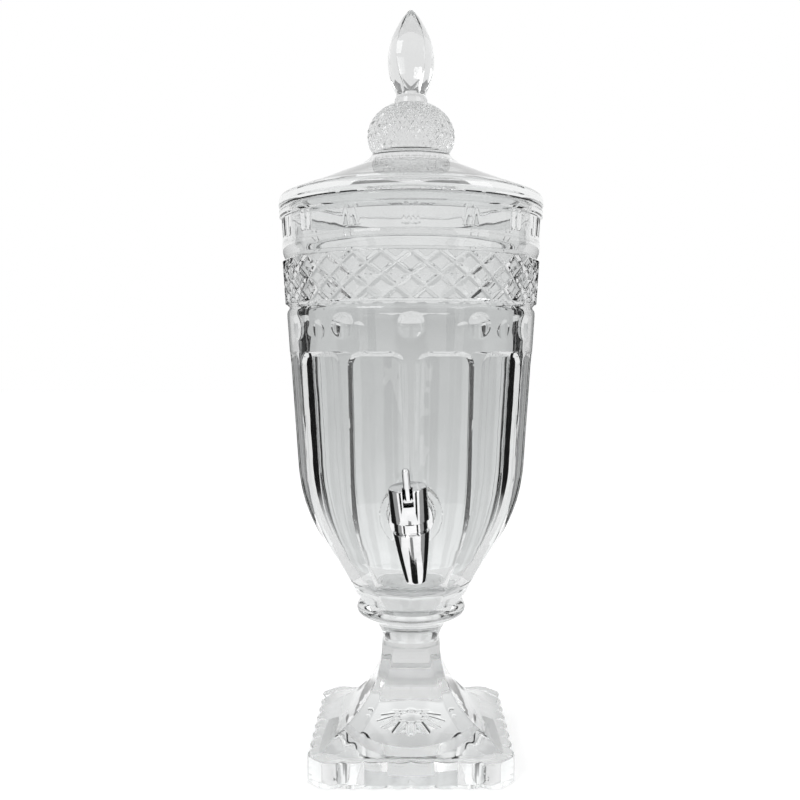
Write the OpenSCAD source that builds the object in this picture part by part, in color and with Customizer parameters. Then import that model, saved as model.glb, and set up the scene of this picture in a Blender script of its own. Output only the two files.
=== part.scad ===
// Footed pressed-glass drink dispenser: a lidded urn on a square pedestal, with a lever tap.
// Millimetres, +Z up, origin at the centre of the resting face, tap towards -Y.

/* [Pedestal] */
// Side of the square slab, measured over its scallops
base_w = 134.5; // [126:0.5:146]
// Height of the slab
base_h = 16.5; // [13:0.5:20]
// Scallops along each side
base_lobes = 8; // [6:1:10]
// Radius of one scallop
lobe_r = 14; // [12:0.5:18]
// Rounded corner left at each end of a row of scallops
corner_cut = 7.6; // [6:0.2:10]
// Distance cut off each corner of the slab along its diagonal
corner_flat = 7.7; // [6.8:0.1:9]
// Plain border of the slab outside the flared foot
base_border = 7; // [5:0.5:10]
// Half width of the stem between opposite faces
stem_a = 20.2; // [18:0.2:23]
// Half width of the stem between opposite corner faces
stem_q = 21.6; // [20:0.2:24]
// Height where the flared faces end and the round neck starts
waist_z = 74; // [68:1:80]
// Height of the flat seat that carries the vessel
seat_z = 98.7; // [94:0.1:106]
// Outer radius of the collar bead
collar_r = 38.1; // [36:0.1:41]
// Section radius of the collar bead
bead_r = 5; // [4:0.1:6]
// Wall of the collar socket beside the bead's crown
socket_lip = 1.8; // [1:0.1:2.5]
// Height of the hollow under the foot
hollow_h = 15; // [10:0.5:18]
// Radius of the hollow at the table
hollow_r = 40; // [36:0.5:44]
// Petals pressed into the hollow
hollow_petals = 12; // [8:1:12]
// Section radius of a petal
petal_r = 5; // [4.5:0.1:6]
// Depth of a petal at its middle
petal_d = 1; // [0.6:0.1:1.4]

/* [Vessel] */
// Height of the vessel from its bowl's foot to the rim
vessel_h = 272; // [255:1:290]
// Outer radius of the bowl where it meets the collar
foot_r = 36; // [34:0.2:38]
// Outer radius of the wall at the rim
body_r = 91.8; // [88:0.2:96]
// Lean of the upper wall from the vertical
wall_lean = 4; // [3:0.2:5]
// Lean of the lower bowl from the vertical
bowl_lean = 34; // [32:0.5:36]
// Radius of the bend between wall and bowl
bowl_r = 128; // [110:1:140]
// Glass thickness of the wall
wall_t = 7; // [6.4:0.1:8]
// Glass thickness of the floor
floor_t = 11; // [8:0.5:14]
// Inner radius between floor and bowl
floor_fillet = 22; // [16:0.5:26]

/* [Pressed pattern] */
// Height of the plain rim
rim_h = 6; // [5:0.5:8]
// Height of the panel band
panel_h = 17; // [14:0.5:20]
// Panels round the band, with a pair of cut posts between each two
panels = 15; // [12:1:18]
// Radius of a post's cut
post_r = 2.2; // [1.8:0.1:2.4]
// Depth of a post's cut
post_d = 1.2; // [0.8:0.1:1.6]
// Height of the rounded moulding under the panels
mould_h = 10.5; // [8:0.5:13]
// Height of the groove under the moulding
groove_h = 3; // [2.5:0.1:4]
// Height of the diamond band
diamond_h = 29; // [26:0.5:32]
// Diamonds round the band
diamonds = 30; // [24:1:34]
// Width of the cut between two diamonds
diamond_cut = 3.4; // [2.4:0.1:4]
// Height of a diamond's flat face over its cut
diamond_d = 1.3; // [0.8:0.1:1.6]
// Flutes, and thumbprints above their ridges
flutes = 12; // [10:1:14]
// Distance from the rim down to the crown of the flutes
flute_drop = 99; // [95:1:110]
// Section radius of a flute
flute_r = 400; // [300:10:500]
// Depth of a flute
flute_d = 3.3; // [2.8:0.1:3.6]
// Width of the arch that crowns a flute
flute_arch_w = 38; // [34:1:42]
// Radius of the flute's upper corners
flute_round = 9; // [6:0.5:12]
// Width of a thumbprint
print_w = 16.5; // [14:0.5:18]
// Depth of a thumbprint
print_d = 2.4; // [1.6:0.1:2.8]
// Distance from the rim down to the thumbprints' centres
print_drop = 82.5; // [80:0.5:86]

/* [Lid] */
// Overhang of the lid's rim over the vessel's wall
lid_overhang = 1; // [0.4:0.1:2]
// Height of the lid's rim
lid_rim_h = 9.5; // [8:0.5:12]
// Slope of the lid's cone, rise over run
lid_slope = 0.42; // [0.36:0.01:0.48]
// Glass thickness of the lid
lid_t = 7; // [5.5:0.1:8.5]
// Depth of the locating skirt
skirt_h = 8; // [6:0.5:12]
// Thickness of the locating skirt
skirt_t = 5; // [4:0.1:6]
// Clearance between skirt and mouth
skirt_gap = 1; // [0.6:0.1:2]
// Radius of the knob
knob_r = 31; // [28:0.2:34]
// Half height of the knob's rounded form
knob_h = 25; // [23:0.5:27]
// Diamonds round the knob
knob_diamonds = 30; // [24:2:36]
// Depth of the knob's cuts
knob_cut = 0.9; // [0.5:0.1:1.2]
// Largest radius of the flame finial
finial_r = 17.3; // [15:0.1:20]
// Height of the flame finial
finial_h = 62; // [54:0.5:70]
// Faces round the finial
finial_faces = 5; // [5:1:6]
// Radius of the neck under the finial
neck_r = 10.3; // [9:0.1:12]

/* [Tap] */
// Height of the tap's shank above the table
tap_z = 174.5; // [168:0.5:178]
// Downward pitch of the shank
tap_pitch = 8; // [6:0.5:10]
// Turn of the tap on its shank, as it was fitted
tap_roll = 5; // [0:0.5:10]
// Radius of the flat pad on the glass
pad_r = 21; // [19:0.5:22]
// Height of the pad's face over the bowl's wall at the washer's upper edge
pad_proud = 0.512; // [0.4:0.001:1.5]
// Glass thickness left between pad and inner seat
pad_t = 7.2; // [6.4:0.1:8]
// Radius of the shank's thread
shank_r = 7.75; // [7:0.05:8.2]
// Clearance of the hole round the shank
hole_gap = 0.75; // [0.4:0.05:1]
// Bore of the shank
shank_bore = 4; // [3:0.1:4.2]
// Radius of the flange
flange_r = 14; // [12:0.5:15]
// Thickness of the flange
flange_t = 3.2; // [2.4:0.1:4]
// Thickness of each sealing washer
gasket_t = 2.5; // [1.5:0.1:3]
// Radius of the sealing washers
gasket_r = 13; // [11.5:0.1:13.5]
// Thickness of the slip washer
washer_t = 1.2; // [0.8:0.1:1.6]
// Thickness of the nut
nut_t = 7; // [5:0.5:9]
// Width of the nut across its flats
nut_af = 24; // [21:0.5:25]
// Distance of the barrel's axis from the glass
barrel_reach = 20; // [19.5:0.1:24]
// Radius of the barrel
barrel_r = 10.25; // [10:0.05:10.6]
// Height of the barrel's lower edge
barrel_z = -1; // [-2:0.1:0]
// Length of the spout
spout_l = 33; // [28:0.5:36]
// Swell of the spout's shoulder beyond the barrel
spout_swell = 0.9; // [0.2:0.1:1.4]
// Radius of the spout's end
spout_r = 6.2; // [5.8:0.1:7]
// Bore of the spout
spout_bore = 4.5; // [4:0.1:4.8]
// Radius of the cap
cap_r = 11.8; // [11:0.1:12.4]
// Height of the cap
cap_h = 20.5; // [20:0.1:24]
// Height of the cap's lower edge over the shank
cap_z = 5; // [4.8:0.1:6]
// Thickness of the cap's top
cap_top_t = 2; // [1.6:0.1:2.2]
// Width of the lever's slot
slot_w = 6.3; // [6:0.1:6.8]
// Depth of the slot down the cap's front
slot_h = 9.6; // [9:0.1:10]

/* [Lever and valve] */
// Width of the lever
lever_w = 4.6; // [4:0.1:5.2]
// Rise of the lever over the cap
lever_rise = 13.5; // [10:0.5:18]
// Thickness of the lever
lever_t = 4.2; // [3.4:0.1:4.6]
// Lean of the resting lever
lever_lean = 9; // [6:0.5:12]
// Travel of the lever
lever_travel = 41; // [36:1:42]
// Distance from pin to stem
lever_arm = 6; // [5.85:0.05:6.2]
// Radius of the lever's hub
hub_r = 2.4; // [2.1:0.05:2.5]
// Radius of the pin
pin_r = 1.2; // [1:0.05:1.4]
// Running clearance of pin and stem
run_gap = 0.05; // [0.02:0.01:0.1]
// Radius of the fork's tips
tip_r = 1.6; // [1.3:0.05:1.65]
// Play of the tips in the stem's spool
tip_play = 0.3; // [0.2:0.05:0.5]
// Radius of the stem
stem_r = 2; // [1.7:0.05:2.1]
// Radius of the spool's flanges
spool_r = 3.3; // [3.1:0.05:3.4]
// Radius of the flange under the spring
foot_flange_r = 4.6; // [4.4:0.1:5.2]
// Radius of the valve chamber
chamber_r = 7; // [6.8:0.05:7.2]
// Height of the valve seat, below the shank's axis
seat_drop = 7.5; // [7:0.1:8.5]
// Radius of the valve seal
seal_r = 5.9; // [5.5:0.1:6.2]
// Height of the valve seal
seal_h = 3.2; // [2.6:0.1:3.4]
// Mean radius of the spring
spring_r = 3.6; // [3.3:0.05:3.8]
// Radius of the spring's wire
wire_r = 0.4; // [0.3:0.05:0.45]
// Turns of the spring
spring_turns = 5; // [4:1:6]

/* [Hidden] */
$fn = 96;
eps = 0.6;
glass = [0.84, 0.87, 0.88, 0.55];
chrome = [0.74, 0.75, 0.77];
rubber = [0.86, 0.86, 0.84];
steel = [0.66, 0.67, 0.69];

// Gap between the vessel's foot and the collar bead, and between spigot and socket.
bond_gap = 0.3;
socket_r = collar_r - bead_r - socket_lip;
vessel_z = seat_z + bead_r + bond_gap;
rim_z = vessel_z + vessel_h;

// The wall's meridian: a straight upper wall, a bend and a straight lower bowl.
function wall_at(z) = body_r - (rim_z - z) * tan(wall_lean);
corner_z = (wall_at(0) - foot_r + vessel_z * tan(bowl_lean)) / (tan(bowl_lean) - tan(wall_lean));
corner_r = wall_at(corner_z);
bend_t = bowl_r * tan((bowl_lean - wall_lean) / 2);
bend_c = [corner_r + bend_t * sin(wall_lean) - bowl_r * cos(wall_lean),
    corner_z + bend_t * cos(wall_lean) + bowl_r * sin(wall_lean)];
function outer_at(z) =
    z > bend_c[1] - bowl_r * sin(wall_lean) ? wall_at(z)
    : z > bend_c[1] - bowl_r * sin(bowl_lean) ? bend_c[0] + sqrt(pow(bowl_r, 2) - pow(z - bend_c[1], 2))
    : foot_r + (z - vessel_z) * tan(bowl_lean);
function arc(c, r, a0, a1, n) =
    [for (i = [0:n]) let (a = a0 + (a1 - a0) * i / n) c + r * [cos(a), sin(a)]];
function bend(inset, n) = arc(bend_c, bowl_r - inset, -bowl_lean, -wall_lean, n);

// Heights of the pattern's bands, counted down from the rim.
panel_z1 = rim_z - rim_h;
panel_z0 = panel_z1 - panel_h;
mould_z0 = panel_z0 - mould_h;
diamond_z1 = mould_z0 - groove_h;
diamond_z0 = diamond_z1 - diamond_h;
shoulder_z = diamond_z0 - 8;
flute_z = rim_z - flute_drop;
print_z = rim_z - print_drop;
band_sink = 0.6;

lid_r = body_r + lid_overhang;

// The pad's face is met by the shank at pad_p; the tap's own frame starts there.
pad_y = outer_at(tap_z + gasket_r) - gasket_r * tan(tap_pitch) + pad_proud;
pad_p = [0, -pad_y, tap_z];
cap_top = cap_z + cap_h;
seat_in = pad_t;
gland_z = cap_z + 6.5;
gland_flange = 1;
gland_depth = 3.5;
seal_t = 1;
spigot_r = barrel_r - 0.85;
spigot_top = gland_z - gland_flange - seal_t;
cap_bore = spigot_r + run_gap;
cavity_r = cap_bore - 0.75;
pin_v = -lever_arm;
pin_w = cap_top - 7.5;
rest_a = -lever_travel / 2;
tip_w = pin_w + lever_arm * sin(rest_a);
lift = 2 * lever_arm * sin(lever_travel / 2);
spool_gap = 2 * tip_r + tip_play;
spool_w0 = tip_w - spool_gap / 2;
spool_w1 = tip_w + spool_gap / 2;
spool_t = 1.3;
arm_t = 1.4;
seal_w = -seat_drop;
spring_w0 = seal_w + seal_h + 1;
spring_w1 = gland_z - gland_flange - gland_depth;
nut_y = seat_in + gasket_t + washer_t;

// A closed skin over rings of equal length, each end closed onto its own middle point.
// Where zigzag is 1 the cells' diagonals alternate, so that a lattice's cuts stay creases.
module skin(rings, zigzag = 0) {
    m = len(rings);
    n = len(rings[0]);
    low = [for (p = [0:2]) rings[0][0][p] * (p == 2 ? 1 : 0)];
    high = [for (p = [0:2]) rings[m - 1][0][p] * (p == 2 ? 1 : 0)];
    points = concat([for (r = rings) each r], [low, high]);
    sides = [for (j = [0:m - 2], i = [0:n - 1])
        let (a = j * n + i, b = j * n + (i + 1) % n, c = b + n, d = a + n)
        each ((i + j) % 2 == 1 && zigzag == 1) ? [[a, d, b], [b, d, c]] : [[a, c, b], [a, d, c]]];
    foot = [for (i = [0:n - 1]) [m * n, i, (i + 1) % n]];
    head = [for (i = [0:n - 1]) [m * n + 1, (m - 1) * n + (i + 1) % n, (m - 1) * n + i]];
    polyhedron(points, concat(sides, foot, head), convexity = 8);
}

// Pedestal

module scalloped_slab() {
    half = base_w / 2;
    pitch = (base_w - 2 * corner_cut) / base_lobes;
    sag = lobe_r - sqrt(pow(lobe_r, 2) - pow(pitch / 2, 2));
    linear_extrude(base_h)
        intersection() {
            rotate(45)
                square(sqrt(2) * base_w - 2 * corner_flat, center = true);
            union() {
                square([base_w - 2 * sag - 2 * eps, base_w - 2 * lobe_r], center = true);
                square([base_w - 2 * lobe_r, base_w - 2 * sag - 2 * eps], center = true);
                for (side = [0:3])
                    rotate(90 * side)
                        for (k = [0:base_lobes - 1])
                            translate([half - lobe_r, (k + 0.5 - base_lobes / 2) * pitch])
                                circle(lobe_r);
            }
        }
}

// A concave flare, drawn in profile: half width a0 at height z0, growing to a1 on the slab.
module flare_profile(a0, z0, a1) {
    rise = z0 - base_h;
    r = (pow(rise, 2) + pow(a1 - a0, 2)) / (2 * (a1 - a0));
    difference() {
        translate([-a1 - 4, base_h - eps])
            square([2 * a1 + 8, waist_z - base_h + eps]);
        for (s = [-1, 1])
            translate([s * (a0 + r), z0])
                circle(r);
    }
}

module flared_foot() {
    reach = base_w / 2 - base_border;
    corner_reach = (2 * reach - 0.45 * corner_cut) / sqrt(2);
    intersection() {
        rotate([90, 0, 0])
            linear_extrude(2 * base_w, center = true)
                flare_profile(stem_a, waist_z, reach);
        rotate([90, 0, 90])
            linear_extrude(2 * base_w, center = true)
                flare_profile(stem_a, waist_z, reach);
        rotate([90, 0, 45])
            linear_extrude(2 * base_w, center = true)
                flare_profile(stem_q, waist_z + 10, corner_reach);
        rotate([90, 0, 135])
            linear_extrude(2 * base_w, center = true)
                flare_profile(stem_q, waist_z + 10, corner_reach);
    }
}

// Round neck, bead and socket above the faceted stem.
module collar() {
    neck = stem_a - eps;
    bead_c = [collar_r - bead_r, seat_z];
    rise = seat_z - bead_r - waist_z;
    run = bead_c[0] - neck;
    r = (pow(rise, 2) + pow(run, 2)) / (2 * run);
    turn = asin(rise / r);
    rotate_extrude()
        polygon(concat(
            [[0, waist_z - 6], [neck, waist_z - 6]],
            arc([neck + r, waist_z], r, 180, 180 - turn, 8),
            arc(bead_c, bead_r, -80, 90, 12),
            [[socket_r, seat_z + bead_r], [socket_r, seat_z], [0, seat_z]]));
}

// Shallow dome pressed up into the foot, with round-ended petals set like a daisy.
module foot_hollow() {
    ball = (pow(hollow_r, 2) + pow(hollow_h, 2)) / (2 * hollow_h);
    low = hollow_h - ball;
    in_r = 0.3 * hollow_r;
    out_r = 0.8 * hollow_r;
    in_z = low + sqrt(pow(ball, 2) - pow(in_r, 2));
    out_z = low + sqrt(pow(ball, 2) - pow(out_r, 2));
    lean = atan((in_z - out_z) / (out_r - in_r));
    long = (out_r - in_r) / cos(lean);
    sag = ball - sqrt(pow(ball, 2) - pow(long / 2, 2));
    drop = petal_r - petal_d - sag;
    translate([0, 0, low])
        sphere(ball);
    for (k = [0:hollow_petals - 1])
        rotate([0, 0, -90 + 360 * k / hollow_petals])
            translate([in_r - drop * sin(lean), 0, in_z - drop * cos(lean)])
                rotate([0, 90 + lean, 0]) {
                    cylinder(h = long, r = petal_r);
                    sphere(petal_r);
                    translate([0, 0, long])
                        sphere(petal_r);
                }
}

module pedestal() {
    color(glass)
        difference() {
            union() {
                scalloped_slab();
                flared_foot();
                collar();
            }
            foot_hollow();
        }
}

// Vessel

module outer_form() {
    mould = [for (i = [0:6]) let (z = mould_z0 + mould_h * i / 6)
        [wall_at(z) - 0.9 + 1.4 * sin(150 * i / 6), z]];
    rotate_extrude()
        polygon(concat(
            [[0, seat_z], [socket_r - bond_gap, seat_z], [socket_r - bond_gap, vessel_z],
                [foot_r, vessel_z]],
            bend(0, 6),
            [[wall_at(shoulder_z), shoulder_z],
                [wall_at(shoulder_z) - 0.4, shoulder_z + 3],
                [wall_at(shoulder_z) - 1.8, shoulder_z + 4.5],
                [wall_at(diamond_z0) - 2, diamond_z0 - 2],
                [wall_at(diamond_z0) - band_sink, diamond_z0 - eps],
                [wall_at(diamond_z1) - band_sink, diamond_z1 + eps],
                [wall_at(diamond_z1) - 1, diamond_z1 + 1.2]],
            mould,
            [[wall_at(panel_z0) - 0.2, panel_z0 + 0.4],
                [wall_at(panel_z1) - 0.2, panel_z1 - 0.4],
                [wall_at(panel_z1) + 0.8, panel_z1 + 0.4],
                [wall_at(rim_z) + 0.8, rim_z - 1.6],
                [wall_at(rim_z) - 0.8, rim_z],
                [0, rim_z]]));
}

module inner_form() {
    floor_z = vessel_z + floor_t;
    low = bend_c + (bowl_r - wall_t) * [cos(bowl_lean), -sin(bowl_lean)];
    // The floor's fillet touches the floor and the straight lower bowl.
    fz = floor_z + floor_fillet;
    fx = low[0] - (low[1] - fz) * tan(bowl_lean) - floor_fillet / cos(bowl_lean);
    rotate_extrude()
        polygon(concat(
            [[0, floor_z]],
            arc([fx, fz], floor_fillet, -90, -bowl_lean, 6),
            bend(wall_t, 6),
            [[wall_at(rim_z) - wall_t / cos(wall_lean), rim_z],
                [wall_at(rim_z) - wall_t / cos(wall_lean), rim_z + 2],
                [0, rim_z + 2]]));
}

// One flute: long cuts that lie along the wall, round the bend and down the bowl.
module flute() {
    steps = 3;
    out = bowl_r - flute_d + flute_r;
    last = bowl_lean - 4.5;
    long = 2 * vessel_h;
    half = flute_arch_w / 2;
    round_c = [half - flute_round, flute_z - flute_round];
    intersection() {
        translate([bend_c[0], 0, bend_c[1]])
            rotate([0, wall_lean, 0])
                translate([out, 0, -vessel_h / 2])
                    cylinder(h = vessel_h, r = flute_r, $fn = 192);
        rotate([90, 0, 90])
            linear_extrude(2 * body_r)
                polygon(concat(
                    [[-half, vessel_z], [half, vessel_z]],
                    arc(round_c, flute_round, 0, 90, 3),
                    arc([-round_c[0], round_c[1]], flute_round, 90, 180, 3)));
    }
    for (k = [1:steps])
        translate([bend_c[0], 0, bend_c[1]])
            rotate([0, wall_lean + (last - wall_lean) * k / steps, 0])
                translate([out, 0, -long / 2])
                    cylinder(h = long * 0.62, r = flute_r, $fn = 192);
}

module flute_ring() {
    for (k = [0:flutes - 1])
        rotate([0, 0, -90 + 360 * (k + 0.5) / flutes])
            flute();
}

// Pairs of narrow upright cuts between the panels.
module post_cuts() {
    half = atan(1.4 * post_r / body_r);
    low = panel_z0 + post_r + 1;
    high = panel_z1 - post_r - 1;
    for (k = [0:panels - 1], s = [-1, 1])
        rotate([0, 0, -90 + 360 * k / panels + s * half])
            translate([wall_at(low) + post_r - post_d, 0, low])
                rotate([0, wall_lean, 0]) {
                    cylinder(h = high - low, r = post_r);
                    translate([0, 0, high - low])
                        sphere(post_r);
                }
}

module thumbprints() {
    r = (pow(print_w / 2, 2) + pow(print_d, 2)) / (2 * print_d);
    for (k = [0:flutes - 1])
        rotate([0, 0, -90 + 360 * k / flutes])
            translate([wall_at(print_z) + r - print_d, 0, print_z])
                sphere(r);
}

// Flat-topped diamonds in three staggered rows, with half diamonds along both edges.
module diamond_faces() {
    cell_h = diamond_h / 4;
    for (j = [0:4], k = [0:diamonds - 1]) {
        z = diamond_z0 + cell_h * j;
        cell_w = PI * wall_at(z) / diamonds;
        keep = 1 - diamond_cut / 2 * sqrt(pow(cell_w, 2) + pow(cell_h, 2)) / (cell_w * cell_h);
        w = cell_w * keep;
        h = cell_h * keep;
        up = j < 4 ? h : 0;
        down = j > 0 ? h : 0;
        rotate([0, 0, -90 + 360 * (k + (j % 2 == 0 ? 0.5 : 0)) / diamonds])
            translate([wall_at(z) - band_sink, 0, z])
                rotate([0, wall_lean, 0])
                    translate([-2, 0, 0])
                        rotate([90, 0, 90])
                            linear_extrude(2 + diamond_d)
                                polygon(concat([[w, 0]], up > 0 ? [[0, up]] : [], [[-w, 0]],
                                    down > 0 ? [[0, -down]] : []));
    }
}

// Places a child in the shank's frame: -Y runs out of the glass along the shank.
module on_pad() {
    translate(pad_p)
        rotate([tap_pitch, 0, 0])
            children();
}

module on_tap() {
    on_pad()
        rotate([0, -tap_roll, 0])
            children();
}

// A round bar along Y in the shank's frame, from y0 to y1.
module y_bar(r, y0, y1, sides = 96) {
    translate([0, y0, 0])
        rotate([-90, 0, 0])
            cylinder(h = y1 - y0, r = r, $fn = sides);
}

module y_ring(r, bore, y0, y1) {
    difference() {
        y_bar(r, y0, y1);
        y_bar(bore, y0 - 1, y1 + 1);
    }
}

module vessel() {
    color(glass)
        difference() {
            union() {
                difference() {
                    union() {
                        outer_form();
                        diamond_faces();
                    }
                    flute_ring();
                    post_cuts();
                    thumbprints();
                }
                on_pad()
                    y_bar(pad_r, 0, 30);
            }
            inner_form();
            on_pad() {
                y_bar(shank_r + hole_gap, -20, 60);
                y_bar(nut_af / sqrt(3) + 1.8, seat_in, 34);
            }
        }
}

// Lid

module lid_form() {
    z = rim_z;
    edge_z = z + lid_rim_h;
    skirt_r = wall_at(z - skirt_h) - wall_t / cos(wall_lean) - skirt_gap;
    inner_r = skirt_r - skirt_t;
    blend_r = 30;
    lean = atan(lid_slope);
    foot = knob_r + 9;
    foot_z = edge_z + (lid_r - 3 - foot) * lid_slope;
    blend_c = [foot, foot_z] + blend_r * [sin(lean), cos(lean)];
    blend = arc(blend_c, blend_r, 270 - lean, 270 - lean - 32, 6);
    crown_z = blend[6][1];
    knob_z = crown_z + knob_h * 0.5;
    collar_z = knob_z + knob_h * 0.86;
    finial_z = collar_z + 7.5;
    under = inner_r - 46;
    rotate_extrude()
        polygon(concat(
            [[0, foot_z - lid_t + (foot - under) * lid_slope],
                [under, foot_z - lid_t + (foot - under) * lid_slope],
                [inner_r, foot_z - lid_t + (foot - inner_r) * lid_slope],
                [inner_r, z - skirt_h], [skirt_r, z - skirt_h], [skirt_r, z],
                [lid_r - 2.4, z], [lid_r - 0.6, z + 0.8], [lid_r, z + 2.6],
                [lid_r, edge_z - 4], [lid_r - 0.9, edge_z - 1.5], [lid_r - 3, edge_z]],
            blend,
            [[neck_r + 1.4, crown_z], [neck_r + 1.4, finial_z - 3], [neck_r, finial_z],
                [0, finial_z]]));
    knob(knob_z);
    finial(finial_z - eps);
}

// Squat round knob whose skin is a lattice of pointed diamonds.
module knob(z) {
    n = 2 * knob_diamonds;
    rows = 10;
    rings = [for (j = [0:rows])
        let (t = -36 + 96 * j / rows, r = knob_r * cos(t))
        [for (i = [0:n - 1])
            let (a = 360 * i / n - 90, q = r - ((i + j) % 2 == 0 && j < rows ? knob_cut : 0))
            [q * cos(a), q * sin(a), z + knob_h * sin(t)]]];
    skin(rings, 1);
}

// Flame with sharp ridges between slightly hollow faces, one face to the front.
module finial(z) {
    cols = 6 * finial_faces;
    rows = 15;
    belly = 0.42;
    rings = [for (j = [0:rows])
        let (u = 0.985 * (1 - pow(1 - j / rows, 1.15)),
            r = u < belly ? neck_r - 0.3 + (finial_r - neck_r + 0.3) * sin(90 * u / belly)
                : finial_r * pow(cos(90 * (u - belly) / (1 - belly)), 0.75))
        [for (i = [0:cols - 1])
            let (a = 360 * i / cols - 90,
                f = (i + 3) % 6 - 3,
                q = r * (1 - 0.09 * cos(30 * f)))
            [q * cos(a), q * sin(a), z + finial_h * u]]];
    skin(rings);
}

module lid() {
    color(glass)
        lid_form();
}

// Tap. Upright pieces are drawn about the barrel's axis, with the shank's axis at height 0.

module on_barrel() {
    on_tap()
        translate([0, -barrel_reach, 0])
            children();
}

module ring(r, bore, w0, w1) {
    translate([0, 0, w0])
        difference() {
            cylinder(h = w1 - w0, r = r);
            translate([0, 0, -1])
                cylinder(h = w1 - w0 + 2, r = bore);
        }
}

// Spout, barrel and cap spigot in one turned profile.
module barrel_form() {
    top = barrel_z;
    rim = barrel_r + spout_swell;
    // The spout's side is slightly full, as a moulded nozzle is.
    side = [for (i = [0:6]) let (u = i / 6)
        [spout_r + (rim - spout_r) * (u + 0.25 * u * (1 - u)), top - spout_l + 0.6 + (spout_l - 1.8) * u]];
    rotate_extrude()
        polygon(concat(
            [[0, top - spout_l], [spout_r - 0.5, top - spout_l]],
            side,
            [[barrel_r - 0.9, top - 0.4], [barrel_r - 0.9, top], [barrel_r, top + 0.3],
                [barrel_r, cap_z - 0.3], [spigot_r, cap_z - 0.3], [spigot_r, spigot_top],
                [0, spigot_top]]));
}

module tap_body() {
    flange_y = -gasket_t;
    color(chrome)
        difference() {
            union() {
                on_barrel()
                    barrel_form();
                on_tap() {
                    y_bar(shank_r, flange_y - 1, nut_y + nut_t + 2.5);
                    y_bar(flange_r, flange_y - flange_t, flange_y);
                    intersection() {
                        y_bar(shank_r - 0.4, -barrel_reach, flange_y - 1);
                        translate([-barrel_r, -barrel_reach, -barrel_r])
                            cube([2 * barrel_r, barrel_reach, barrel_r + cap_z - 0.5]);
                    }
                }
            }
            on_barrel() {
                translate([0, 0, seal_w])
                    cylinder(h = spigot_top - seal_w + 1, r = chamber_r);
                translate([0, 0, barrel_z - spout_l - 1])
                    cylinder(h = spout_l + 2, r = spout_bore);
            }
            on_tap()
                y_bar(shank_bore, -barrel_reach, nut_y + nut_t + 4);
        }
}

module tap_cap() {
    color(chrome)
        on_barrel()
            difference() {
                rotate_extrude()
                    polygon([[0, cap_z], [cap_r - 0.4, cap_z], [cap_r, cap_z + 0.4],
                        [cap_r, cap_top - 1.2], [cap_r - 0.4, cap_top - 0.4],
                        [cap_r - 1.2, cap_top], [0, cap_top]]);
                translate([0, 0, cap_z - 1])
                    cylinder(h = gland_z - cap_z + 1, r = cap_bore);
                translate([0, 0, gland_z - 1])
                    cylinder(h = cap_top - cap_top_t - gland_z + 1, r = cavity_r);
                // Slot over the top's front half and down the front.
                translate([-slot_w / 2, -2 * cap_r, cap_top - slot_h])
                    cube([slot_w, 2 * cap_r + pin_v + hub_r + 1, slot_h + 1]);
                translate([-2 * cap_r, pin_v, pin_w])
                    rotate([0, 90, 0])
                        cylinder(h = 4 * cap_r, r = pin_r);
            }
}

// Side view of the lever's handle about its pin, leaning forward to a rounded end.
module handle_side() {
    top_w = cap_top + lever_rise - pin_w;
    half = lever_t / 2;
    l = (top_w - half) / cos(lever_lean);
    circle(hub_r);
    rotate(lever_lean)
        polygon(concat([[-half + 0.2, 0], [half - 0.2, 0]], arc([0, l], half, 0, 180, 16)));
}

// Side view of the fork's arm, with the round tip that works in the spool.
module fork_side() {
    circle(hub_r - 0.2);
    join_a = 180 - asin(arm_t / 2 / tip_r);
    rotate(rest_a)
        polygon(concat([[0, arm_t / 2], [0, -arm_t / 2]],
            arc([lever_arm, 0], tip_r, -join_a, join_a, 20)));
}

module lever_across(w) {
    rotate([90, 0, 90])
        linear_extrude(w, center = true)
            children();
}

module tap_lever() {
    prong_in = stem_r + 0.25;
    prong_w = 0.8;
    wide = 2 * (prong_in + prong_w);
    color(chrome)
        on_barrel()
            translate([0, pin_v, pin_w])
                difference() {
                    union() {
                        lever_across(lever_w)
                            handle_side();
                        lever_across(wide)
                            fork_side();
                    }
                    rotate([0, 90, 0])
                        translate([0, 0, -cap_r])
                            cylinder(h = 2 * cap_r, r = pin_r + run_gap);
                    // Gap between the prongs, clear of the stem's neck through the travel.
                    rotate([rest_a, 0, 0])
                        translate([-prong_in, hub_r + 0.1, -cap_r])
                            cube([2 * prong_in, cap_r, 2 * cap_r]);
                }
}

module lever_pin() {
    half = sqrt(pow(cap_r, 2) - pow(pin_v, 2)) - 0.4;
    color(steel)
        on_barrel()
            translate([-half, pin_v, pin_w])
                rotate([0, 90, 0])
                    cylinder(h = 2 * half, r = pin_r);
}

// Rod with a spool for the fork at its head and a flange over the seal.
module valve_stem() {
    color(chrome)
        on_barrel()
            rotate_extrude()
                polygon([[0, seal_w + 0.8], [stem_r, seal_w + 0.8], [stem_r, seal_w + seal_h],
                    [foot_flange_r, seal_w + seal_h], [foot_flange_r, spring_w0],
                    [stem_r, spring_w0],
                    [stem_r, spool_w0 - spool_t], [spool_r, spool_w0 - spool_t],
                    [spool_r, spool_w0], [stem_r, spool_w0], [stem_r, spool_w1],
                    [spool_r, spool_w1], [spool_r, spool_w1 + spool_t],
                    [0, spool_w1 + spool_t]]);
}

// Soft plug pushed on the rod's end, closing the outlet with its flat face.
module valve_seal() {
    color(rubber)
        on_barrel()
            rotate_extrude()
                polygon([[0, seal_w], [seal_r, seal_w], [seal_r, seal_w + seal_h - 0.6],
                    [seal_r - 0.6, seal_w + seal_h], [stem_r, seal_w + seal_h],
                    [stem_r, seal_w + 0.8], [0, seal_w + 0.8]]);
}

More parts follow.
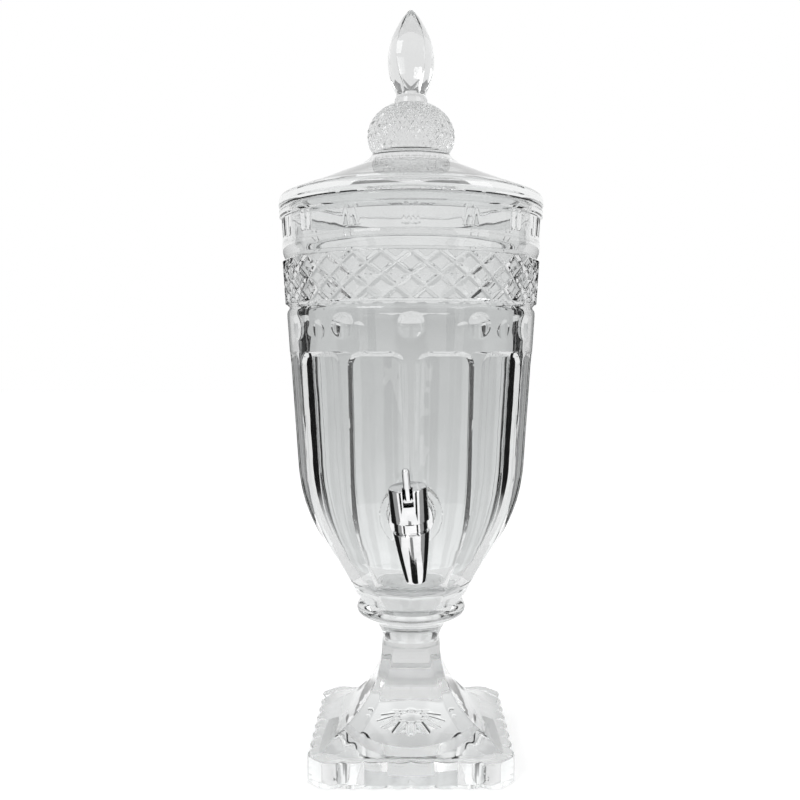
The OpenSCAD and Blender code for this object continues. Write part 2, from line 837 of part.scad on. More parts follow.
// Compression spring: one unbroken helix, eight rings to a turn and six sides.
spring_rings = 8 * spring_turns;
spring_run = spring_w1 - spring_w0 - 2 * wire_r;
spring_pitch = spring_run / spring_turns;
function coil(t) = [spring_r * cos(360 * t), spring_r * sin(360 * t),
    spring_w0 + wire_r + spring_pitch * t];
function wire_ring(t) = let (c = coil(t), u = [cos(360 * t), sin(360 * t), 0])
    [for (s = [0:5]) c + wire_r * (cos(60 * s) * u + [0, 0, sin(60 * s)])];
spring_gap = min([for (i = [0:7]) norm(coil((i + 8) / 8) - coil(i / 8))]) - 2 * wire_r;
echo(spring_gap = spring_gap);

module valve_spring() {
    points = [for (j = [0:spring_rings]) each wire_ring(j / 8)];
    last = 6 * spring_rings;
    sides = [for (j = [0:spring_rings - 1], s = [0:5])
        let (a = 6 * j + s, b = 6 * j + (s + 1) % 6)
        each [[a, b, b + 6], [a, b + 6, a + 6]]];
    ends = [for (s = [1:4]) each [[0, s + 1, s], [last, last + s, last + s + 1]]];
    color(steel)
        on_barrel()
            polyhedron(points, concat(sides, ends), convexity = 10);
}

// Disc that guides the stem, held down by the cap.
module stem_gland() {
    groove_r = stem_r + 1.8;
    mid = gland_z - gland_flange - 1.4;
    color(rubber * 0.92)
        on_barrel()
            difference() {
                rotate_extrude()
                    polygon([[0, spring_w1], [chamber_r - run_gap, spring_w1],
                        [chamber_r - run_gap, gland_z - gland_flange],
                        [cap_bore - run_gap, gland_z - gland_flange],
                        [cap_bore - run_gap, gland_z], [0, gland_z]]);
                translate([0, 0, spring_w1 - 1])
                    cylinder(h = gland_z - spring_w1 + 2, r = stem_r + run_gap);
                translate([0, 0, mid - 0.85])
                    cylinder(h = 1.7, r = groove_r);
            }
}

module stem_oring() {
    mid = gland_z - gland_flange - 1.4;
    color([0.12, 0.12, 0.13])
        on_barrel()
            translate([0, 0, mid])
                rotate_extrude()
                    translate([stem_r + run_gap + 0.85, 0])
                        circle(0.85);
}

module cap_seal() {
    color([0.15, 0.15, 0.16])
        on_barrel()
            ring(spigot_r - 0.1, chamber_r + 0.1, spigot_top, spigot_top + seal_t);
}

module outer_gasket() {
    color(rubber)
        on_tap()
            y_ring(gasket_r, shank_r + 0.1, -gasket_t, 0);
}

module inner_gasket() {
    color(rubber)
        on_tap()
            y_ring(gasket_r, shank_r + 0.1, seat_in, seat_in + gasket_t);
}

module inner_washer() {
    color(rubber)
        on_tap()
            y_ring(gasket_r - 0.3, shank_r + 0.15, seat_in + gasket_t, nut_y);
}

module shank_nut() {
    color(steel)
        on_tap()
            difference() {
                y_bar(nut_af / sqrt(3), nut_y, nut_y + nut_t, 6);
                y_bar(shank_r + run_gap, nut_y - 1, nut_y + nut_t + 1);
            }
}

lid();
vessel();
pedestal();
tap_body();
tap_cap();
tap_lever();
lever_pin();
valve_stem();
valve_seal();
valve_spring();
stem_gland();
stem_oring();
cap_seal();
outer_gasket();
inner_gasket();
inner_washer();
shank_nut();
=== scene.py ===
import math

import bmesh
import bpy
import numpy as np
from mathutils import Matrix, Vector


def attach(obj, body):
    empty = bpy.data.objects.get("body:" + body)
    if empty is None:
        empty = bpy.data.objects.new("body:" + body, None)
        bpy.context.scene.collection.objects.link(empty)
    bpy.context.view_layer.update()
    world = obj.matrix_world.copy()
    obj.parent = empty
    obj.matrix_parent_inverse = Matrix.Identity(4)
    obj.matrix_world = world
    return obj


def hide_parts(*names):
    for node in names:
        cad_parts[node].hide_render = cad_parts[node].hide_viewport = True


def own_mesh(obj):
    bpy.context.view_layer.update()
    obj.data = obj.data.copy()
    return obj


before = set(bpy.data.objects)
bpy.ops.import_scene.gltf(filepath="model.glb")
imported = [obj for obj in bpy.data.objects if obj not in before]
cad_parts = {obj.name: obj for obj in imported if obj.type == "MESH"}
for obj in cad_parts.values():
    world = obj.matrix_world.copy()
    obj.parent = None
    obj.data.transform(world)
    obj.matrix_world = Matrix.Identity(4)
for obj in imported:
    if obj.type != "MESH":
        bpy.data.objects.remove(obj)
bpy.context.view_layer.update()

# Sizes are in millimetres, as in the solids, and go to metres where a mesh is made.
MM = 0.001

# Vessel and pedestal: heights and radii
SEAT_Z = 98.7
BEAD_R = 5.0
COLLAR_R = 38.1
BOND_GAP = 0.3
SOCKET_R = COLLAR_R - BEAD_R - 1.8
VESSEL_Z = SEAT_Z + BEAD_R + BOND_GAP
RIM_Z = VESSEL_Z + 272.0
FOOT_R = 36.0
BODY_R = 91.8
WALL_LEAN = math.radians(4.0)
BOWL_LEAN = math.radians(34.0)
BOWL_R = 128.0
WALL_T = 7.0
FLOOR_Z = VESSEL_Z + 11.0
FLOOR_FILLET = 22.0

# Pressed pattern
PANEL_Z1 = RIM_Z - 6.0
PANEL_Z0 = PANEL_Z1 - 17.0
MOULD_H = 10.5
MOULD_Z0 = PANEL_Z0 - MOULD_H
DIAMOND_Z1 = MOULD_Z0 - 3.0
DIAMOND_H = 29.0
DIAMOND_Z0 = DIAMOND_Z1 - DIAMOND_H
SHOULDER_Z = DIAMOND_Z0 - 8.0
BAND_SINK = 0.6
PANELS = 15
POST_R = 2.2
POST_D = 1.2
DIAMONDS = 30
DIAMOND_CUT = 5.0
DIAMOND_D = 1.3
FLUTES = 12
FLUTE_Z = RIM_Z - 99.0
FLUTE_R = 400.0
FLUTE_D = 3.3
ARCH_W = 38.0
ARCH_ROUND = 9.0
ARCH_SOFT = 2.5
PRINT_W = 16.5
PRINT_D = 2.4
PRINT_Z = RIM_Z - 82.5

# Tap pad, and the tap's own frame on it
TAP_Z = 174.5
TAP_PITCH = math.radians(8.0)
TAP_ROLL = math.radians(5.0)
PAD_R = 21.0
PAD_PROUD = 0.512
GASKET_R = 13.0
PAD_T = 7.2
SPOT_R = 24.0 / math.sqrt(3) + 1.8
HOLE_R = 8.5
BARREL_REACH = 20.0
# Each soft edge: how far it reaches past the flat, and its width.
PAD_EDGE = (0.4, 1.6)
SPOT_EDGE = (0.3, 1.2)

# Columns of points round the vessel and the pedestal
COLUMNS = 720


def smooth(t):
    t = np.clip(t, 0.0, 1.0)
    return t * t * (3.0 - 2.0 * t)


def steps(*stops):
    """Heights from stop to stop: each stop is (height, spacing up to it)."""
    out = [stops[0][0]]
    for z, gap in stops[1:]:
        n = max(1, round((z - out[-1]) / gap))
        out += list(np.linspace(out[-1], z, n + 1)[1:])
    return np.array(out)


# Meshes

def placed(name, data):
    obj = bpy.data.objects.new(name, data)
    bpy.context.scene.collection.objects.link(obj)
    return obj


class Shell:
    """Rings of equal length joined into one closed mesh."""

    def __init__(self):
        self.points = []
        self.faces = []

    def add(self, points):
        start = len(self.points)
        self.points += [tuple(p) for p in points]
        return list(range(start, start + len(points)))

    def band(self, low, high, closed=True):
        n = len(low)
        for i in range(n if closed else n - 1):
            j = (i + 1) % n
            self.faces.append((low[i], low[j], high[j], high[i]))

    def skin(self, rings):
        for low, high in zip(rings, rings[1:]):
            self.band(low, high)

    def onward(self, last, rows):
        """Carries the skin on from a ring over rows of points, and gives back the last ring."""
        for points in rows:
            ring = self.add(points)
            self.band(last, ring)
            last = ring
        return last

    def close(self, ring, point):
        """Closes a ring with a fan that meets in a point."""
        middle = self.add([point])[0]
        n = len(ring)
        for i in range(n):
            self.faces.append((ring[i], ring[(i + 1) % n], middle))

    def cap(self, rings):
        """Closes the two ends of a run of rings with flat faces."""
        self.faces += [tuple(rings[0]), tuple(rings[-1])]

    def mesh(self, name, matrix=None, sharp=35.0):
        data = bpy.data.meshes.new(name)
        points = [Vector(p) * MM for p in self.points]
        data.from_pydata(points, [], self.faces)
        work = bmesh.new()
        work.from_mesh(data)
        bmesh.ops.recalc_face_normals(work, faces=work.faces)
        work.to_mesh(data)
        work.free()
        if matrix is not None:
            data.transform(matrix)
        data.shade_smooth()
        data.set_sharp_from_angle(angle=math.radians(sharp))
        return placed(name, data)


def turn(angles):
    """Unit vectors for angles from the front, counted towards +X."""
    return np.sin(angles), -np.cos(angles)


def ring_points(angles, r, z):
    sx, sy = turn(angles)
    r = np.broadcast_to(r, angles.shape)
    z = np.broadcast_to(z, angles.shape)
    return np.stack([r * sx, r * sy, z], axis=1)


def revolve(shell, profile, columns=128, closed=True):
    """Turns a closed outline of (r, z) points round the Z axis."""
    angles = np.linspace(-math.pi, math.pi, columns, endpoint=False)
    rings = [shell.add(ring_points(angles, r, z)) for r, z in profile]
    shell.skin(rings)
    if closed:
        shell.band(rings[-1], rings[0])
    return rings


# Vessel

def wall_at(z):
    return BODY_R - (RIM_Z - z) * math.tan(WALL_LEAN)


CORNER_Z = ((wall_at(0) - FOOT_R + VESSEL_Z * math.tan(BOWL_LEAN))
            / (math.tan(BOWL_LEAN) - math.tan(WALL_LEAN)))
BEND_T = BOWL_R * math.tan((BOWL_LEAN - WALL_LEAN) / 2)
BEND_C = (wall_at(CORNER_Z) + BEND_T * math.sin(WALL_LEAN) - BOWL_R * math.cos(WALL_LEAN),
          CORNER_Z + BEND_T * math.cos(WALL_LEAN) + BOWL_R * math.sin(WALL_LEAN))


def meridian(z, inset):
    """Radius of the wall's surface, inset from the outside, and its lean at each height."""
    rho = BOWL_R - inset
    top = BEND_C[1] - rho * math.sin(WALL_LEAN)
    low = BEND_C[1] - rho * math.sin(BOWL_LEAN)
    upper = wall_at(z) - inset / math.cos(WALL_LEAN)
    bend = BEND_C[0] + np.sqrt(np.maximum(rho ** 2 - (z - BEND_C[1]) ** 2, 0.0))
    lower = BEND_C[0] + rho * math.cos(BOWL_LEAN) - (low - z) * math.tan(BOWL_LEAN)
    lean = np.arcsin(np.clip((BEND_C[1] - z) / rho, math.sin(WALL_LEAN), math.sin(BOWL_LEAN)))
    return np.where(z >= top, upper, np.where(z >= low, bend, lower)), lean


PAD_Y = (float(meridian(np.array(TAP_Z + GASKET_R), 0.0)[0]) - GASKET_R * math.tan(TAP_PITCH)
         + PAD_PROUD)


def band_offset(z):
    """How far the mouldings stand out of the straight wall."""
    mould_z = MOULD_Z0 + MOULD_H * np.linspace(0, 1, 9)
    mould = -0.9 + 1.4 * np.sin(np.radians(150) * np.linspace(0, 1, 9))
    heights = [SHOULDER_Z - 1, SHOULDER_Z + 1.5, SHOULDER_Z + 3, SHOULDER_Z + 4.5,
               DIAMOND_Z0 - 2, DIAMOND_Z0 - 0.6, DIAMOND_Z1 + 0.6, DIAMOND_Z1 + 1.2]
    offsets = [0, -0.15, -0.6, -1.9, -1.95, -BAND_SINK, -BAND_SINK, -1.0]
    heights += list(mould_z) + [PANEL_Z0 + 0.4, PANEL_Z1 - 0.4, PANEL_Z1 + 0.4,
                                RIM_Z - 1.8, RIM_Z - 0.6, RIM_Z]
    offsets += list(mould) + [-0.2, -0.2, 0.8, 0.8, 0.3, -0.8]
    return np.interp(z, heights, offsets)


def fold(angle, count, shift=0.0):
    """Angle from the nearest of count places round the circle, the first at shift."""
    step = 2 * math.pi / count
    return np.mod(angle - shift + step / 2, step) - step / 2


def fluted(angle, z, r, lean):
    """Cuts the arched flutes into the wall."""
    away = fold(angle, FLUTES, math.pi / FLUTES)
    low_z = BEND_C[1] - BOWL_R * math.sin(BOWL_LEAN)
    depth = FLUTE_D - (FLUTE_D - 0.5) * np.clip((low_z - z) / (low_z - VESSEL_Z), 0, 1)
    cut = r
    for _ in range(3):
        side = np.clip(cut * np.sin(away), -FLUTE_R * 0.9, FLUTE_R * 0.9)
        sink = -depth + FLUTE_R - np.sqrt(FLUTE_R ** 2 - side ** 2)
        cut = (r + sink / np.cos(lean)) / np.cos(away)
    side = np.maximum(np.abs(r * np.sin(away)) - ARCH_W / 2 + ARCH_ROUND, 0.0)
    over = np.maximum(z - FLUTE_Z + ARCH_ROUND, 0.0)
    keep = np.sqrt(np.clip((ARCH_ROUND - np.hypot(side, over)) / ARCH_SOFT, 0, 1))
    return r - keep * np.maximum(r - cut, 0.0)


def printed(angle, z, r):
    """Presses a shallow thumbprint over each ridge."""
    side = r * np.sin(fold(angle, FLUTES))
    reach = (side ** 2 + (z - PRINT_Z) ** 2) / (PRINT_W / 2) ** 2
    return r - PRINT_D * np.maximum(1 - reach, 0.0)


def posted(angle, z, r):
    """Cuts the pairs of upright posts between the panels."""
    half = math.atan(1.4 * POST_R / BODY_R)
    side = r * (np.abs(fold(angle, PANELS)) - half)
    low, high = PANEL_Z0 + POST_R + 1, PANEL_Z1 - POST_R - 1
    over = np.maximum(z - high, 0) + np.maximum(low - z, 0) * 2
    width = math.sqrt(2 * POST_R * POST_D - POST_D ** 2)
    return r - POST_D * np.maximum(1 - (side ** 2 + over ** 2) / width ** 2, 0.0)


def diamonded(angle, z, r):
    """Raises flat-topped diamonds over the band, with sharp cuts between them."""
    cell_h = DIAMOND_H / 4
    cell_w = math.pi * r / DIAMONDS
    across = 2 * cell_w * cell_h / np.sqrt(cell_w ** 2 + cell_h ** 2)
    u = angle * DIAMONDS / (2 * math.pi)
    v = (z - DIAMOND_Z0) / (2 * cell_h)
    p, q = u + v, u - v
    edge = np.minimum(np.abs(p - np.round(p)), np.abs(q - np.round(q))) * across
    inside = (z >= DIAMOND_Z0 - 0.01) & (z <= DIAMOND_Z1 + 0.01)
    return r + np.where(inside, DIAMOND_D * np.clip(edge / (DIAMOND_CUT / 2), 0, 1), 0.0)


def pad_plane(angle, z, depth):
    """Radius of the pad's plane, set back by depth, and the distance from the pad's middle."""
    c, s = math.cos(TAP_PITCH), math.sin(TAP_PITCH)
    r = (PAD_Y * c + s * (z - TAP_Z) - depth) / (c * np.maximum(np.cos(angle), 0.2))
    u = r * np.sin(angle)
    w = (PAD_Y - r * np.cos(angle)) * -s + (z - TAP_Z) * c
    away = np.where(np.cos(angle) > 0.2, np.hypot(u, w), 1e3)
    return r, away


def vessel_outside(angle, z):
    r, lean = meridian(z, 0.0)
    r = r + band_offset(z)
    r = diamonded(angle, z, r)
    r = printed(angle, z, r)
    r = posted(angle, z, r)
    r = fluted(angle, z, r, lean)
    flat, away = pad_plane(angle, z, 0.0)
    weight = smooth((PAD_R + PAD_EDGE[0] - away) / PAD_EDGE[1])
    return r + weight * np.maximum(flat - r, 0.0)


def vessel_inside(angle, z):
    r = meridian(z, WALL_T)[0]
    flat, away = pad_plane(angle, z, PAD_T)
    weight = smooth((SPOT_R + SPOT_EDGE[0] - away) / SPOT_EDGE[1])
    return r + weight * np.maximum(flat - r, 0.0)


def floor_fillet():
    """Rows of the floor and its fillet, from the middle out to the straight bowl."""
    low_z = BEND_C[1] - (BOWL_R - WALL_T) * math.sin(BOWL_LEAN)
    low_r = BEND_C[0] + (BOWL_R - WALL_T) * math.cos(BOWL_LEAN)
    cz = FLOOR_Z + FLOOR_FILLET
    cr = low_r - (low_z - cz) * math.tan(BOWL_LEAN) - FLOOR_FILLET / math.cos(BOWL_LEAN)
    turns = np.linspace(-math.pi / 2, -BOWL_LEAN, 10)
    rows = [(cr * t, FLOOR_Z) for t in (0.35, 0.7)]
    return rows + [(cr + FLOOR_FILLET * math.cos(a), cz + FLOOR_FILLET * math.sin(a)) for a in turns]


def pad_matrix(roll):
    """The shank's frame: -Y runs out of the glass along the shank."""
    return (Matrix.Translation((0, -PAD_Y, TAP_Z)) @ Matrix.Rotation(TAP_PITCH, 4, "X")
            @ Matrix.Rotation(-roll, 4, "Y"))


def hole_patch(shell, grid, rows, cols, depth):
    """Opens a round hole in a grid's flat place and returns its edge."""
    r0, r1, c0, c1 = *rows, *cols
    loop = [grid[r0][c] for c in range(c0, c1)]
    loop += [grid[r][c1] for r in range(r0, r1)]
    loop += [grid[r1][c] for c in range(c1, c0, -1)]
    loop += [grid[r][c0] for r in range(r1, r0, -1)]
    place = pad_matrix(0.0)
    back = place.inverted()
    edge = []
    for k in loop:
        p = back @ Vector(shell.points[k])
        a = math.atan2(p.z, p.x)
        edge.append(place @ Vector((HOLE_R * math.cos(a), depth, HOLE_R * math.sin(a))))
    count = 6
    return shell.onward(loop, [[Vector(shell.points[a]).lerp(b, k / count) for a, b in zip(loop, edge)]
                               for k in range(1, count + 1)])


def make_vessel():
    shell = Shell()
    angles = np.linspace(-math.pi, math.pi, COLUMNS, endpoint=False)
    front = COLUMNS // 2
    half = 15
    row_gap, row_half = 0.7, 14
    block = TAP_Z + row_gap * np.arange(-row_half - 12, row_half + 13)
    outer_z = np.concatenate([
        steps((VESSEL_Z, 1), (block[0] - 0.7, 1.6)), block,
        steps((block[-1] + 0.7, 1), (FLUTE_Z - 16, 2.4), (FLUTE_Z + 1, 0.6), (PRINT_Z - 9, 1.0),
              (PRINT_Z + 8.5, 0.55), (DIAMOND_Z0 - 0.6, 0.4), (DIAMOND_Z0, 0.3),
              (DIAMOND_Z1, 0.36), (MOULD_Z0, 0.5), (PANEL_Z0, 0.5), (PANEL_Z1 + 1, 0.45),
              (RIM_Z, 0.4))])
    inner_z = np.concatenate([
        steps((block[0] - 8, 1), (block[0] - 0.7, 2)), block,
        steps((block[-1] + 0.7, 1), (200, 3), (RIM_Z, 6))])

    def lay(heights, surface):
        grid = []
        for z in heights:
            r = surface(angles, np.full(COLUMNS, z))
            grid.append(shell.add(ring_points(angles, r, z)))
        return grid

    outer = lay(outer_z, vessel_outside)
    inner = lay(inner_z, vessel_inside)
    middle = {}
    for grid, heights, depth in ((outer, outer_z, 0.0), (inner, inner_z, PAD_T)):
        low = int(np.argmin(np.abs(heights - (TAP_Z - row_gap * row_half))))
        rows = (low, low + 2 * row_half)
        cols = (front - half, front + half)
        for j in range(len(grid) - 1):
            if rows[0] <= j < rows[1]:
                ring_a = grid[j][cols[1]:] + grid[j][:cols[0] + 1]
                ring_b = grid[j + 1][cols[1]:] + grid[j + 1][:cols[0] + 1]
                shell.band(ring_a, ring_b, closed=False)
            else:
                shell.band(grid[j], grid[j + 1])
        middle[depth] = hole_patch(shell, grid, rows, cols, depth)
    shell.band(middle[0.0], middle[PAD_T])
    shell.band(outer[-1], inner[-1])
    spigot_r, spigot_z = SOCKET_R - BOND_GAP, SEAT_Z + 0.1
    spigot = ((spigot_r, VESSEL_Z), (spigot_r, spigot_z), (spigot_r * 0.5, spigot_z))
    fillet = [row for row in floor_fillet() if row[1] < inner_z[0] - 1]
    for start, rows, end_z in ((outer[0], spigot, spigot_z), (inner[0], fillet[::-1], FLOOR_Z)):
        last = shell.onward(start, [ring_points(angles, r, z) for r, z in rows])
        shell.close(last, (0, 0, end_z))
    return shell.mesh("vessel_glass", sharp=28.0)


# Pedestal

BASE_W = 134.5
BASE_H = 16.5
BASE_LOBES = 8
LOBE_R = 14.0
CORNER_CUT = 7.6
CORNER_FLAT = 7.7
BASE_BORDER = 7.0
STEM_A = 20.2
STEM_Q = 21.6
WAIST_Z = 74.0
HOLLOW_R = 40.0
HOLLOW_H = 15.0
PETALS = 12
PETAL_R = 5.0
PETAL_D = 1.0
# The higher, the sharper the stem's edges
STEM_EDGE = 60.0


def slab_outline(angle):
    """Radius of the scalloped outline: the farthest of all the lobes' circles."""
    pitch = (BASE_W - 2 * CORNER_CUT) / BASE_LOBES
    sx, sy = turn(angle)
    out = np.zeros(angle.shape)
    for side in range(4):
        a = side * math.pi / 2
        for k in range(BASE_LOBES):
            px, py = BASE_W / 2 - LOBE_R, (k + 0.5 - BASE_LOBES / 2) * pitch
            cx = px * math.cos(a) - py * math.sin(a)
            cy = px * math.sin(a) + py * math.cos(a)
            along = cx * sx + cy * sy
            aside = cx * sy - cy * sx
            hit = along + np.sqrt(np.maximum(LOBE_R ** 2 - aside ** 2, 0))
            out = np.maximum(out, np.where(np.abs(aside) < LOBE_R, hit, 0))
    return np.minimum(out, (BASE_W - math.sqrt(2) * CORNER_FLAT) / (np.abs(sx) + np.abs(sy)))


def flare(a0, z0, a1, z):
    """Half width at height z of a face that curves from a0 at z0 out to a1 on the slab."""
    rise = z0 - BASE_H
    r = (rise ** 2 + (a1 - a0) ** 2) / (2 * (a1 - a0))
    return a0 + r - math.sqrt(max(r ** 2 - (z0 - z) ** 2, 0.0))


def stem_outline(angle, z):
    """Radius of the eight-sided flared stem, with its edges a little rounded."""
    reach = BASE_W / 2 - BASE_BORDER
    corner_reach = (2 * reach - 0.45 * CORNER_CUT) / math.sqrt(2)
    a = flare(STEM_A, WAIST_Z, reach, z)
    q = flare(STEM_Q, WAIST_Z + 10, corner_reach, z)
    total = np.zeros(angle.shape)
    for k in range(8):
        width = a if k % 2 == 0 else q
        side = np.cos(angle - k * math.pi / 4)
        total += np.where(side > 0.05, (np.maximum(side, 0.05) / width * a) ** STEM_EDGE, 0)
    return a / total ** (1 / STEM_EDGE)


def collar_rows():
    """Rows from the waist over the bead and down into the socket."""
    neck = STEM_A - 0.6
    bead = (COLLAR_R - BEAD_R, SEAT_Z)
    rise = SEAT_Z - BEAD_R - WAIST_Z
    run = bead[0] - neck
    r = (rise ** 2 + run ** 2) / (2 * run)
    turn_a = math.asin(rise / r)
    rows = [(neck + r - r * math.cos(t), WAIST_Z + r * math.sin(t))
            for t in np.linspace(0, turn_a, 16)]
    rows += [(bead[0] + BEAD_R * math.cos(t), bead[1] + BEAD_R * math.sin(t))
             for t in np.radians(np.linspace(-78, 90, 24))]
    return rows + [(SOCKET_R + 0.4, SEAT_Z + BEAD_R), (SOCKET_R, SEAT_Z + BEAD_R - 0.4),
                   (SOCKET_R, SEAT_Z), (SOCKET_R * 0.5, SEAT_Z)]


def underside(angle, r):
    """Height of the shallow dome pressed into the foot, with round-ended petals set like a daisy."""
    ball = (HOLLOW_R ** 2 + HOLLOW_H ** 2) / (2 * HOLLOW_H)
    low = HOLLOW_H - ball
    in_r, out_r = 0.3 * HOLLOW_R, 0.8 * HOLLOW_R
    in_z, out_z = (low + math.sqrt(ball ** 2 - k ** 2) for k in (in_r, out_r))
    lean = math.atan2(in_z - out_z, out_r - in_r)
    long = (out_r - in_r) / math.cos(lean)
    drop = PETAL_R - PETAL_D - (ball - math.sqrt(ball ** 2 - (long / 2) ** 2))
    away = fold(angle, PETALS)
    along, side = r * np.cos(away), r * np.sin(away)
    tall = np.maximum(low + np.sqrt(max(ball ** 2 - r ** 2, 0.0)), 0.0) + 0.0 * angle
    start = (in_r - drop * math.sin(lean), in_z - drop * math.cos(lean))
    end = (start[0] + long * math.cos(lean), start[1] - long * math.sin(lean))
    for x, z in (start, end):
        ball_z = z + np.sqrt(np.maximum(PETAL_R ** 2 - (along - x) ** 2 - side ** 2, 0))
        tall = np.maximum(tall, ball_z)
    rise = np.sqrt(np.maximum(PETAL_R ** 2 - side ** 2, 0)) / math.cos(lean)
    tube = start[1] - (along - start[0]) * math.tan(lean) + rise
    reach = (along - start[0]) * math.cos(lean) - (tube - start[1]) * math.sin(lean)
    return np.where((reach > 0) & (reach < long) & (rise > 0), np.maximum(tall, tube), tall)


def make_pedestal():
    shell = Shell()
    angles = np.linspace(-math.pi, math.pi, COLUMNS, endpoint=False)
    slab = slab_outline(angles)
    edge = 0.7
    rings = []
    for inset, z in ((edge, 0), (0.3 * edge, 0.3 * edge), (0, edge), (0, BASE_H / 2),
                     (0, BASE_H - edge), (0.3 * edge, BASE_H - 0.3 * edge), (edge, BASE_H)):
        rings.append(ring_points(angles, slab - inset, z))
    foot = stem_outline(angles, BASE_H)
    for t in (0.3, 0.6, 0.85):
        rings.append(ring_points(angles, (slab - edge) * (1 - t) + foot * t, BASE_H))
    for z in steps((BASE_H + 0.25, 1), (24, 0.6), (WAIST_Z, 1.2)):
        rings.append(ring_points(angles, stem_outline(angles, z), z))
    for r, z in collar_rows():
        rings.append(ring_points(angles, r, z))
    made = [shell.add(r) for r in rings]
    shell.skin(made)
    shell.close(made[-1], (0, 0, SEAT_Z))
    under = [ring_points(angles, (slab - edge) * (1 - t) + HOLLOW_R * t, 0) for t in (0.35, 0.7, 1.0)]
    under += [ring_points(angles, r, underside(angles, r)) for r in np.linspace(HOLLOW_R, 1.0, 80)[1:]]
    last = shell.onward(made[0], under)
    shell.close(last, (0, 0, float(underside(angles, 0.0)[0])))
    return shell.mesh("pedestal_glass", sharp=32.0)


# Lid

LID_R = 92.8
LID_RIM_H = 9.5
LID_SLOPE = 0.42
LID_T = 7.0
SKIRT_H = 8.0
SKIRT_T = 5.0
SKIRT_GAP = 1.0
KNOB_R = 31.0
KNOB_H = 25.0
KNOB_DIAMONDS = 30
KNOB_CUT = 1.2
FINIAL_R = 17.3
FINIAL_H = 62.0
FINIAL_FACES = 5
NECK_R = 10.3
LID_EDGE = 3.0
LID_BLEND_R = 30.0
LID_BLEND_TURN = math.radians(32)
KNOB_TOP = math.radians(58)
KNOB_LOW = math.radians(-31)
KNOB_CELL = 9.6
FINIAL_BELLY = 0.42
FINIAL_RIDGE = 0.09
FINIAL_TIP = 0.985
FINIAL_SINK = 0.6
LID_COLUMNS = 480


def finial_rows(angles, finial_z):
    """Flame finial, from its tip down, and the neck and ring under it."""
    rows = []
    face = fold(angles, FINIAL_FACES)
    ridge = 1 - FINIAL_RIDGE * np.cos(FINIAL_FACES / 2 * face)
    for u in np.linspace(FINIAL_TIP, 0.03, 44):
        if u < FINIAL_BELLY:
            r = NECK_R - 0.3 + (FINIAL_R - NECK_R + 0.3) * math.sin(math.pi / 2 * u / FINIAL_BELLY)
        else:
            r = FINIAL_R * math.cos(math.pi / 2 * (u - FINIAL_BELLY) / (1 - FINIAL_BELLY)) ** 0.75
        rows.append((r * ridge, finial_z - FINIAL_SINK + FINIAL_H * u))
    ring_r = NECK_R + 1.4
    rows += [(np.full(angles.shape, r), z) for r, z in (
        (NECK_R, finial_z), (NECK_R + 0.2, finial_z - 1), (ring_r - 0.2, finial_z - 2.6),
        (ring_r, finial_z - 3.4), (ring_r, finial_z - 6), (ring_r + 0.1, finial_z - 7))]
    return rows


def knob_rows(angles, knob_z):
    """Knob with its lattice of pointed diamonds."""
    rows = []
    u = angles * KNOB_DIAMONDS / (2 * math.pi)
    for t in np.linspace(KNOB_TOP, KNOB_LOW, 56):
        v = math.degrees(t) / (KNOB_CELL * 2)
        p, q = u + v, u - v
        edge = 2 * np.minimum(np.abs(p - np.round(p)), np.abs(q - np.round(q)))
        fade = min(1.0, (KNOB_TOP - t) * 4)
        cut_d = KNOB_CUT * fade * (1 - np.clip(edge * 1.3, 0, 1))
        rows.append((KNOB_R * math.cos(t) - cut_d, knob_z + KNOB_H * math.sin(t)))
    return rows


